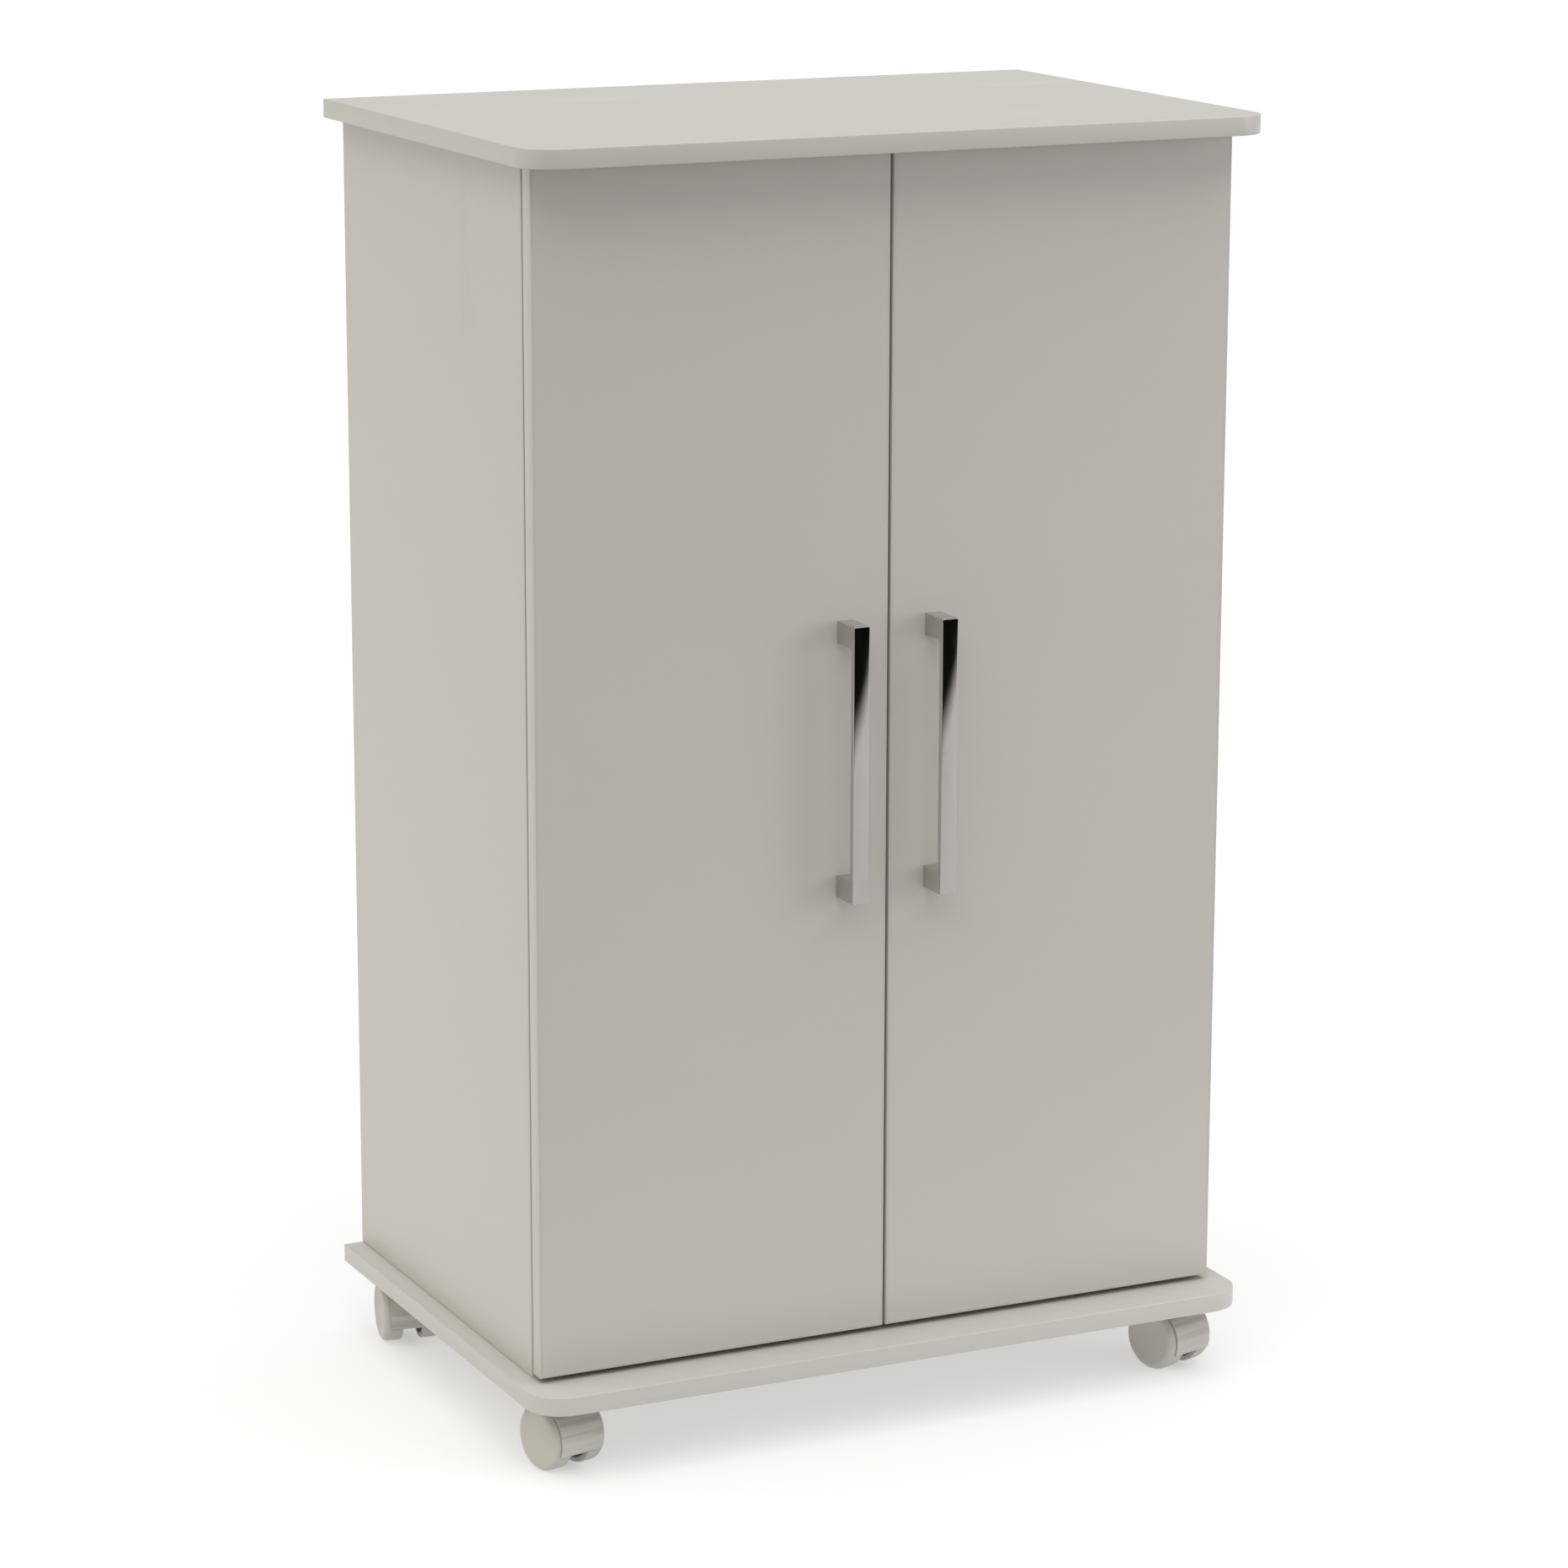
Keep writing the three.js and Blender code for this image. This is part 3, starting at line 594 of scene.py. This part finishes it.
def pull(side):
    node = f"{side}_handle"
    low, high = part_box(node)
    door_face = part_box(f"{side}_door")[0].y
    bar_back = low.y + BAR_THICKNESS
    posts = (low.z + POST_HEIGHT, high.z - POST_HEIGHT)
    piece = new_box(f"{side}_pull", low, (high.x, bar_back, high.z))
    with editing(piece):
        for z in posts:
            bpy.ops.mesh.select_all(action="SELECT")
            bpy.ops.mesh.bisect(plane_co=(0, 0, z), plane_no=(0, 0, 1))
        pick(piece, "FACE", lambda middle, normal: normal.y > PARALLEL
             and not posts[0] < middle.z < posts[1])
        bpy.ops.mesh.extrude_region_move(TRANSFORM_OT_translate={"value": (0, door_face - bar_back, 0)})
        pick(piece, "EDGE", lambda middle, along: abs(along.x) > PARALLEL and near(middle.y, bar_back)
             and min(abs(middle.z - z) for z in posts) < 1e-5)
        bpy.ops.mesh.bevel(offset=POST_FILLET, segments=8, affect="EDGES")
        columns = [low.x + (high.x - low.x) * step / CROWN_STRIPS for step in range(CROWN_STRIPS + 1)]
        for x in columns[1:-1]:
            bpy.ops.mesh.select_all(action="SELECT")
            bpy.ops.mesh.bisect(plane_co=(x, 0, 0), plane_no=(1, 0, 0))
        for x in columns:
            off_middle = 2 * (x - low.x) / (high.x - low.x) - 1
            pick(piece, "VERT", lambda place, _: near(place.x, x) and near(place.y, low.y))
            bpy.ops.transform.translate(value=(0, CROWN * off_middle ** 2, 0))
    ease_edges(piece, PULL_EASING, 3, 50)
    dress(piece, CHROME, node)
    print(piece.name, len(piece.data.polygons), "faces")


for side in ("left", "right"):
    pull(side)

# %% [markdown]
# ## Screws
# Two pan-head screws, a long and a short one, are modelled pointing up: a rod with a domed head and
# a cross sunk in it by a boolean. Every other screw is a copy of one, carried into place in its mesh.

# %% Screws
def make_screw(name, head_radius, head_height, shank_radius, shank_length):
    head = new_rod(name, (0, 0, head_height / 2), head_radius, head_height, "z", 32)
    with editing(head):
        pick(head, "EDGE", lambda middle, along: near(middle.z, head_height) and abs(along.z) < SQUARE)
        bpy.ops.mesh.bevel(offset=head_height * 0.7, segments=5, affect="EDGES")
    wing, slot = head_radius * 0.5, head_radius * 0.11
    depth = (head_height * 0.45, head_height * 1.5)
    carve(head, new_box("cross", (-wing, -slot, depth[0]), (wing, slot, depth[1])))
    carve(head, new_box("cross", (-slot, -wing, depth[0]), (slot, wing, depth[1])))
    shank = new_rod("shank", (0, 0, -shank_length / 2 + head_height / 4), shank_radius,
                    shank_length + head_height / 2, "z", 20)
    carve(head, shank, "UNION")
    smooth(head, 35)
    return head


TURNS = {"+y": Matrix.Rotation(-math.pi / 2, 4, "X"), "-z": Matrix.Rotation(math.pi, 4, "X"),
         "+x": Matrix.Rotation(math.pi / 2, 4, "Y"), "-x": Matrix.Rotation(-math.pi / 2, 4, "Y")}


def put_screw(pattern, name, place, facing, spin=0.0, **ties):
    turn = Matrix.Translation(place) @ TURNS[facing] @ Matrix.Rotation(math.radians(spin), 4, "Z")
    return dress(copy_piece(pattern, name, turn), NICKEL, **ties)


pull_screw = make_screw("pull_screw", head_radius=4 * MM, head_height=2.4 * MM,
                        shank_radius=2 * MM, shank_length=23.5 * MM)
board_screw = make_screw("board_screw", head_radius=3.6 * MM, head_height=1.6 * MM,
                         shank_radius=1.6 * MM, shank_length=1.2 * MM)
for side in ("left", "right"):
    door_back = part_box(f"{side}_door")[1].y
    for spin, level in ((20, "upper"), (65, "lower")):
        node = f"{side}_handle_screw_{level}"
        low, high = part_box(node)
        middle = (low + high) / 2
        put_screw(pull_screw, f"{side}_pull_screw_{level}", (middle.x, door_back, middle.z),
                  "+y", spin, node=node)

# %% [markdown]
# ## The concealed hinges
# A steel cup in the door, a forked arm on a plate inside the cabinet, and a link between them that
# turns on two pins. The cup is turned from rods, hollowed and notched by booleans. The arm and the
# link are copies of the CAD shapes with their doubles merged, flats dissolved and edges eased.

# %% Hinges
def refine(node, width):
    """A finer copy of a CAD shape: merged, with its flats dissolved and its edges eased."""
    piece = bpy.data.objects.new(f"{node}_shape", frame["nodes"][node].data.copy())
    bpy.context.scene.collection.objects.link(piece)
    with editing(piece):
        bpy.ops.mesh.select_all(action="SELECT")
        bpy.ops.mesh.remove_doubles(threshold=2e-6)
        bpy.ops.mesh.dissolve_limited(angle_limit=math.radians(1))
    ease_edges(piece, width, 2, 42)
    return dress(piece, NICKEL, node)


CUP_RADIUS = 17.5 * MM
CUP_HOLLOW_RADIUS = 15.8 * MM
CUP_HOLLOW_HEIGHT = 20 * MM
CUP_FLOOR = 1.2 * MM
CUP_RIM_RADIUS = 19 * MM
EAR_HALF_WIDTH, EAR_ROUNDING, EAR_REACH = 9 * MM, 8.9 * MM, 22 * MM
NOTCH_REACH, NOTCH_HALF_HEIGHT = 22 * MM, 5.6 * MM
PIN_RADIUS, PIN_LENGTH = 1 * MM, 24.4 * MM


def hinge_cup(side, sign, level):
    node = f"{side}_hinge_cup_{level}"
    low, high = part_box(node)
    z = (low.z + high.z) / 2
    pivot = Vector(JOINTS[f"{side}_door_swing"]["pos_m"])
    x = pivot.x - sign * CUP_FROM_PIVOT
    flange_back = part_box(f"{side}_door")[1].y
    middle_y = (low.y + high.y) / 2
    cup = new_rod(f"{node}_shell", (x, middle_y, z), CUP_RADIUS, high.y - low.y, "y", 64)
    ears = new_box("ears", (x - EAR_HALF_WIDTH, flange_back, low.z), (x + EAR_HALF_WIDTH, high.y, high.z))
    with editing(ears):
        pick(ears, "EDGE", lambda middle, along: abs(along.y) > PARALLEL)
        bpy.ops.mesh.bevel(offset=EAR_ROUNDING, segments=10, affect="EDGES")
    carve(cup, ears, "UNION")
    carve(cup, new_rod("rim", (x, (flange_back + high.y) / 2, z), CUP_RIM_RADIUS,
                       high.y - flange_back, "y", 64), "UNION")
    carve(cup, new_rod("hollow", (x, low.y + CUP_FLOOR + CUP_HOLLOW_HEIGHT / 2, z), CUP_HOLLOW_RADIUS,
                       CUP_HOLLOW_HEIGHT, "y", 64))
    notch = sorted((x, x + sign * NOTCH_REACH))
    carve(cup, new_box("notch", (notch[0], pivot.y - PIN_RADIUS, z - NOTCH_HALF_HEIGHT),
                       (notch[1], high.y + MM, z + NOTCH_HALF_HEIGHT)))
    carve(cup, new_rod("pin", (pivot.x, pivot.y, z), PIN_RADIUS, PIN_LENGTH, "z", 20), "UNION")
    ease_edges(cup, 0.2 * MM, 2, 42)
    dress(cup, NICKEL, node)
    for spin, reach in ((10, EAR_REACH), (50, -EAR_REACH)):
        put_screw(board_screw, f"{node}_screw_{'top' if reach > 0 else 'bottom'}",
                  (x, high.y, z + reach), "+y", spin, body=BODY_OF[node], slot="zinc")


PLATE_ROUNDING = 6 * MM
PLATE_SCREW_REACH = 16 * MM


def hinge_plate(side, sign, level):
    node = f"{side}_hinge_plate_{level}"
    low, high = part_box(node)
    piece = new_box(f"{node}_shape", low, high)
    with editing(piece):
        pick(piece, "EDGE", lambda middle, along: abs(along.x) > PARALLEL)
        bpy.ops.mesh.bevel(offset=PLATE_ROUNDING, segments=6, affect="EDGES")
    ease_edges(piece, 0.5 * MM)
    dress(piece, NICKEL, node)
    face, facing = (high.x, "+x") if sign < 0 else (low.x, "-x")
    for spin, reach in ((35, PLATE_SCREW_REACH), (80, -PLATE_SCREW_REACH)):
        place = (face, (low.y + high.y) / 2, (low.z + high.z) / 2 + reach)
        put_screw(board_screw, f"{node}_screw_{'top' if reach > 0 else 'bottom'}", place, facing, spin,
                  body=BODY_OF[node], slot="zinc")


for side, sign in (("left", -1), ("right", 1)):
    for level in ("upper", "lower"):
        hinge_cup(side, sign, level)
        hinge_plate(side, sign, level)
        refine(f"{side}_hinge_arm_{level}", 0.3 * MM)
        refine(f"{side}_hinge_link_{level}", 0.25 * MM)
print("hinges done")

# %% [markdown]
# ## Small fittings
# Shelf pins are turned steel pegs with a collar; bumpers are soft domed dots on the side panels'
# front edges, which the doors close against.

# %% Shelf pins and bumpers
PEG_RADIUS = 2.5 * MM
COLLAR_RADIUS, COLLAR_WIDTH, COLLAR_PLACE = 4 * MM, 1.4 * MM, 0.8 * MM
BUMPER_ROUNDING = 1.2 * MM
for side, sign in (("left", -1), ("right", 1)):
    for row in ("front", "back"):
        node = f"shelf_pin_{side}_{row}"
        low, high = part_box(node)
        middle = (low + high) / 2
        peg = new_rod(f"{node}_peg", middle, PEG_RADIUS, high.x - low.x, "x", 32)
        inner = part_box(f"side_panel_{side}")[1 if sign < 0 else 0].x
        collar = (inner - sign * COLLAR_PLACE, middle.y, middle.z)
        carve(peg, new_rod("collar", collar, COLLAR_RADIUS, COLLAR_WIDTH, "x", 32), "UNION")
        ease_edges(peg, 0.3 * MM)
        dress(peg, NICKEL, node)
    for level in ("upper", "lower"):
        node = f"{side}_bumper_{level}"
        low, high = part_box(node)
        dot = new_rod(f"{node}_dot", (low + high) / 2, (high.x - low.x) / 2, high.y - low.y, "y", 40)
        with editing(dot):
            pick(dot, "EDGE", lambda middle, along: near(middle.y, low.y))
            bpy.ops.mesh.bevel(offset=BUMPER_ROUNDING, segments=5, affect="EDGES")
        smooth(dot, 40)
        dress(dot, BUMPER, node)

# %% [markdown]
# ## The casters
# One caster is built at the origin of its own kingpin, its axle along X, and copied four times.
# The wheel is a disc whose outer rim is rounded by a wide bevel; its inner face is sunk round a
# hub, as a moulding of even wall is. The hood is an open tube cut to an arc and given a wall, joined
# to the web between the wheels and to the kingpin's socket.

# %% Caster patterns
WHEEL_RADIUS = 26 * MM
WHEEL_INNER, WHEEL_OUTER = 8.05 * MM, 24.25 * MM
RIM_ROUNDING, INNER_ROUNDING = 5.1 * MM, 1.5 * MM
DISC_BORDER, DISC_GROOVE, DISC_DEPTH = 1.5 * MM, 0.5 * MM, 0.25 * MM
TREAD_WALL, HOLLOW_DRAFT, HOLLOW_DEPTH = 2.5 * MM, 0.8 * MM, 7 * MM
HUB_INSET, HUB_DRAFT, HUB_HEIGHT = 14 * MM, 0.3 * MM, 6.8 * MM
WEAR_START, WEAR_REACH = 22.5 * MM, 3.5 * MM
TRAIL = 20 * MM
HOOD_RADIUS = 27.6 * MM
HOOD_WALL = 1.2 * MM
HOOD_WIDTH = 38.6 * MM
WEB_RADIUS, WEB_THICKNESS = 10 * MM, 10 * MM
SOCKET_BOTTOM, HEAD_BOTTOM, SOCKET_TOP = 21 * MM, 52.3 * MM, 55.2 * MM
SOCKET_RADIUS, HEAD_RADIUS = 6.8 * MM, 13 * MM
KINGPIN_BORE_RADIUS, KINGPIN_BORE_LENGTH, KINGPIN_BORE_MIDDLE = 4.3 * MM, 40 * MM, 24 * MM
AXLE_BORE_RADIUS, AXLE_BORE_LENGTH = 3.25 * MM, 20 * MM
AXLE_RADIUS, AXLE_LENGTH = 3 * MM, 41.9 * MM
LIP, HEEL, WEB_FRONT = (math.radians(angle) for angle in (-22.4, 190.4, 45))
AXLE = Vector((0, -TRAIL, WHEEL_RADIUS))


def round_the_axle(place):
    """Angle about the axle, from straight ahead upwards, between the lip and one turn past it."""
    angle = math.atan2(place.z - AXLE.z, AXLE.y - place.y)
    return angle if angle >= LIP else angle + 2 * math.pi


def wheel_pattern():
    wheel = new_rod("wheel", ((WHEEL_INNER + WHEEL_OUTER) / 2, AXLE.y, AXLE.z), WHEEL_RADIUS,
                    WHEEL_OUTER - WHEEL_INNER, "x", 80)
    with editing(wheel):
        pick(wheel, "EDGE", lambda middle, along: near(middle.x, WHEEL_OUTER) and abs(along.x) < SQUARE)
        bpy.ops.mesh.bevel(offset=RIM_ROUNDING, segments=9, affect="EDGES")
        pick(wheel, "EDGE", lambda middle, along: near(middle.x, WHEEL_INNER) and abs(along.x) < SQUARE)
        bpy.ops.mesh.bevel(offset=INNER_ROUNDING, segments=3, affect="EDGES")
        pick(wheel, "FACE", lambda middle, normal: normal.x > 0.99 and near(middle.x, WHEEL_OUTER))
        bpy.ops.mesh.inset(thickness=DISC_BORDER)
        bpy.ops.mesh.inset(thickness=DISC_GROOVE, depth=-DISC_DEPTH)
        pick(wheel, "FACE", lambda middle, normal: normal.x < -0.99 and near(middle.x, WHEEL_INNER))
        bpy.ops.mesh.inset(thickness=TREAD_WALL)
        bpy.ops.mesh.inset(thickness=HOLLOW_DRAFT, depth=-HOLLOW_DEPTH)
        bpy.ops.mesh.inset(thickness=HUB_INSET)
        bpy.ops.mesh.inset(thickness=HUB_DRAFT, depth=HUB_HEIGHT)
    smooth(wheel, 35)
    wear = wheel.data.attributes.new("wear", "FLOAT", "POINT")
    for corner, value in zip(wheel.data.vertices, wear.data):
        radius = math.hypot(corner.co.y - AXLE.y, corner.co.z - AXLE.z)
        value.value = min(1.0, max(0.0, (radius - WEAR_START) / WEAR_REACH)) ** 2
    return wheel


def hood_pattern():
    arch = new_rod("hood", AXLE, HOOD_RADIUS, HOOD_WIDTH, "x", 120, "NOTHING")
    with editing(arch):
        pick(arch, "FACE", lambda middle, _: round_the_axle(middle) > HEEL)
        bpy.ops.mesh.delete(type="FACE")
    modify(arch, "SOLIDIFY", thickness=HOOD_WALL, offset=-1)
    web = new_rod("web", AXLE, HOOD_RADIUS - HOOD_WALL / 2, WEB_THICKNESS, "x", 120)
    with editing(web):
        pick(web, "VERT", lambda place, _: not WEB_FRONT < round_the_axle(place) < HEEL)
        shrink = WEB_RADIUS / (HOOD_RADIUS - HOOD_WALL / 2)
        bpy.ops.transform.resize(value=(1, shrink, shrink), center_override=AXLE)
    carve(arch, web, "UNION")
    carve(arch, new_rod("socket", (0, 0, (SOCKET_BOTTOM + SOCKET_TOP) / 2), SOCKET_RADIUS,
                        SOCKET_TOP - SOCKET_BOTTOM, "z", 48), "UNION")
    carve(arch, new_rod("head", (0, 0, (HEAD_BOTTOM + SOCKET_TOP) / 2), HEAD_RADIUS,
                        SOCKET_TOP - HEAD_BOTTOM, "z", 64), "UNION")
    carve(arch, new_rod("bore", (0, 0, SOCKET_BOTTOM + KINGPIN_BORE_MIDDLE), KINGPIN_BORE_RADIUS,
                        KINGPIN_BORE_LENGTH, "z", 32))
    carve(arch, new_rod("axle_hole", AXLE, AXLE_BORE_RADIUS, AXLE_BORE_LENGTH, "x", 32))
    ease_edges(arch, 0.45 * MM, 3, 42)
    return arch


WHEEL = wheel_pattern()
HOOD = hood_pattern()
AXLE_ROD = new_rod("axle", AXLE, AXLE_RADIUS, AXLE_LENGTH, "x", 32)
ease_edges(AXLE_ROD, 0.5 * MM)
print("wheel", len(WHEEL.data.polygons), "faces; hood", len(HOOD.data.polygons))

# %% [markdown]
# Each corner gets copies of the hood, the axle and the wheel, the left wheel turned about face. The
# mount is a plate with rounded corners and a kingpin, held by four screws.

# %% Four casters
PLATE_THICKNESS, PLATE_CORNER = 2.4 * MM, 5 * MM
KINGPIN_RADIUS = 4 * MM
SCREW_INSET = 5.5 * MM
ABOUT_FACE = (Matrix.Translation((0, AXLE.y, 0)) @ Matrix.Rotation(math.pi, 4, "Z")
              @ Matrix.Translation((0, -AXLE.y, 0)))


def caster(corner):
    name = f"caster_{corner}"
    swivel = JOINTS[f"{name}_swivel"]["pos_m"]
    axis = JOINTS[f"{name}_wheel_left_roll"]["axis"]
    turn = math.atan2(axis[1], axis[0])
    place = Matrix.Translation((swivel[0], swivel[1], 0)) @ Matrix.Rotation(turn, 4, "Z")
    dress(copy_piece(HOOD, f"{name}_hood_shell", place), CASTER_PLASTIC, f"{name}_hood")
    dress(copy_piece(AXLE_ROD, f"{name}_axle_rod", place), NICKEL, f"{name}_axle")
    dress(copy_piece(WHEEL, f"{name}_right_wheel", place), CASTER_PLASTIC, f"{name}_wheel_right")
    dress(copy_piece(WHEEL, f"{name}_left_wheel", place @ ABOUT_FACE), CASTER_PLASTIC,
          f"{name}_wheel_left")
    low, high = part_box(f"{name}_plate")
    plate = new_box(f"{name}_mount", (low.x, low.y, high.z - PLATE_THICKNESS), high)
    with editing(plate):
        pick(plate, "EDGE", lambda middle, along: abs(along.z) > PARALLEL)
        bpy.ops.mesh.bevel(offset=PLATE_CORNER, segments=6, affect="EDGES")
    pin_height = high.z - MM - low.z
    carve(plate, new_rod("kingpin", (swivel[0], swivel[1], low.z + pin_height / 2), KINGPIN_RADIUS,
                         pin_height, "z", 32), "UNION")
    ease_edges(plate, 0.4 * MM)
    dress(plate, NICKEL, f"{name}_plate")
    reach = (high.x - low.x) / 2 - SCREW_INSET
    for number, (side_x, side_y) in enumerate(((-1, -1), (1, -1), (1, 1), (-1, 1))):
        spot = (swivel[0] + side_x * reach, swivel[1] + side_y * reach, high.z - PLATE_THICKNESS)
        put_screw(board_screw, f"{name}_mount_screw_{number + 1}", spot, "-z", 25 * number,
                  body="cabinet", slot="zinc")


for corner in ("front_left", "front_right", "back_left", "back_right"):
    caster(corner)
for pattern in (WHEEL, HOOD, AXLE_ROD, pull_screw, board_screw):
    discard(pattern)

# %% [markdown]
# ## The studio
# Small goods are often shot on a lit table, a pale sheet that glows, so that nothing under them
# sinks into black: nearly half of the light that this floor sends up is its own.

# %% Floor
FLOOR_SIZE, TABLE_GLOW = 60, 0.46
bpy.ops.object.select_all(action="DESELECT")
bpy.ops.mesh.primitive_plane_add(size=FLOOR_SIZE, location=(0, 0, 0))
floor = bpy.context.active_object
floor.name = "floor"
floor_finish = Finish("lit_table")
table_cloud = floor_finish.noise(0.8, 2)
table_tint = floor_finish.mix(table_cloud, (0.455, 0.455, 0.453, 1), (0.465, 0.465, 0.463, 1))
floor_finish.set(Base_Color=table_tint, Roughness=0.75 + table_cloud * 0.1,
                 Emission_Color=(1.0, 1.0, 0.995, 1), Emission_Strength=TABLE_GLOW)
floor.data.materials.append(floor_finish.material)
floor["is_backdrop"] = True

# %% [markdown]
# Polished metal needs something dark to mirror. A grey cloth and a black one lie far in front, unseen
# themselves but mirrored in the metal, and where they meet a slanting wedge is drawn down the
# pulls. They keep some of the table's glow off the doors. The cloth is one plane whose cover rises
# at the meeting line, and its underside glows to make up for the light that it keeps off the table.

# %% Cloths for the reflections
CLOTH_WIDTH, BLACK_DEPTH, GREY_DEPTH, CLOTH_HEIGHT = 12, 6, 2.15, 4 * MM
EDGE_SOFTNESS = 0.34
GREY_COVER = 0.40
UNDERSIDE_GLOW = 0.9
MEETING = Vector((0.77, -2.55, 0))
along = Vector((1, -0.03, 0)).normalized()
away = Vector((-0.03, -1, 0)).normalized()
depth = BLACK_DEPTH + GREY_DEPTH
middle = MEETING + away * (depth / 2 - GREY_DEPTH)
bpy.ops.mesh.primitive_plane_add(size=1, location=(0, 0, 0))
cloth = bpy.context.active_object
cloth.name = "reflection_cloth"
cloth.matrix_world = Matrix((
    (along.x * CLOTH_WIDTH, away.x * depth, 0, middle.x),
    (along.y * CLOTH_WIDTH, away.y * depth, 0, middle.y),
    (0, 0, 1, CLOTH_HEIGHT), (0, 0, 0, 1)))
cloth.visible_camera = cloth.visible_shadow = False
cloth_finish = Finish("black_cloth", Roughness=0.9, Base_Color=(0.004, 0.004, 0.004, 1))
cloth_finish.shader.inputs["Specular IOR Level"].default_value = 0.0
split = cloth_finish.node("ShaderNodeSeparateXYZ", None, {0: cloth_finish.place})
beyond = (split.out("Y") + 0.5) * depth
black = cloth_finish.step(beyond, GREY_DEPTH - EDGE_SOFTNESS / 2, GREY_DEPTH + EDGE_SOFTNESS / 2)
underside = cloth_finish.node("ShaderNodeNewGeometry").out("Backfacing")
cloth_finish.set(Alpha=1 - (1 - black) * (1 - GREY_COVER),
                 Emission_Color=cloth_finish.mix(underside, (0, 0, 0, 1), (1, 1, 1, 1)),
                 Emission_Strength=UNDERSIDE_GLOW)
cloth_finish.material.cycles.emission_sampling = "NONE"
cloth.data.materials.append(cloth_finish.material)
cloth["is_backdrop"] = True


# %% [markdown]
# Seen from low down, the floor ends before the picture does. A white dome stands behind it: only the
# camera sees it, so it lights nothing and nothing mirrors it.

# %% Backdrop
BACKDROP_RADIUS = 28
bpy.ops.mesh.primitive_uv_sphere_add(segments=48, ring_count=24, radius=BACKDROP_RADIUS)
backdrop = bpy.context.active_object
backdrop.name = "backdrop"
backdrop.visible_diffuse = backdrop.visible_glossy = backdrop.visible_shadow = False
backdrop.visible_transmission = backdrop.visible_volume_scatter = False
backdrop_finish = Finish("white_backdrop", Base_Color=(0, 0, 0, 1), Roughness=1.0,
                         Emission_Color=(1.0, 1.0, 1.0, 1), Emission_Strength=1.0)
backdrop_finish.material.cycles.emission_sampling = "NONE"
backdrop.data.materials.append(backdrop_finish.material)
backdrop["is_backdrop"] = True

# %% [markdown]
# A wide soft box hangs overhead, a faint warm one stands on the left, and a square one at the front
# right. The warm one only tints what is matt: mirrored in the glossy top it would show as a stain.
# A dim, even sky fills what is left.

# %% Lights
SKY = 0.38


def aim(lamp, toward):
    lamp.rotation_euler = Vector(toward).to_track_quat("Z", "Y").to_euler()
    bpy.context.scene.collection.objects.link(lamp)


def sun(name, strength, spread, toward, colour):
    data = bpy.data.lights.new(name, "SUN")
    data.energy, data.angle, data.color = strength * math.pi, math.radians(spread), colour
    lamp = bpy.data.objects.new(name, data)
    aim(lamp, toward)
    return lamp


def square_box(name, power, side, place, target):
    data = bpy.data.lights.new(name, "AREA")
    data.energy, data.size = power, side
    lamp = bpy.data.objects.new(name, data)
    lamp.location = place
    lamp.visible_camera = False
    aim(lamp, Vector(place) - Vector(target))


sun("overhead_softbox", 0.90, 90, (-0.12, -0.13, 0.985), (1.0, 0.995, 0.985))
warm_box = sun("left_softbox", 0.07, 60, (-0.95, -0.1, 0.3), (1.0, 0.98, 0.25))
warm_box.visible_glossy = False
square_box("right_softbox", 16, 1.3, (2.2, -1.7, 1.1), (0.1, -0.17, 0.5))

world = bpy.data.worlds.new("studio")
bpy.context.scene.world = world
world.use_nodes = True
world.node_tree.nodes["Background"].inputs["Color"].default_value = (1, 1, 1, 1)
world.node_tree.nodes["Background"].inputs["Strength"].default_value = SKY

# %% [markdown]
# ## Measure and finish
# The finished pieces must fill the same box as the CAD model. The box that they fill is measured.

# %% Size and finish
low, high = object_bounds()
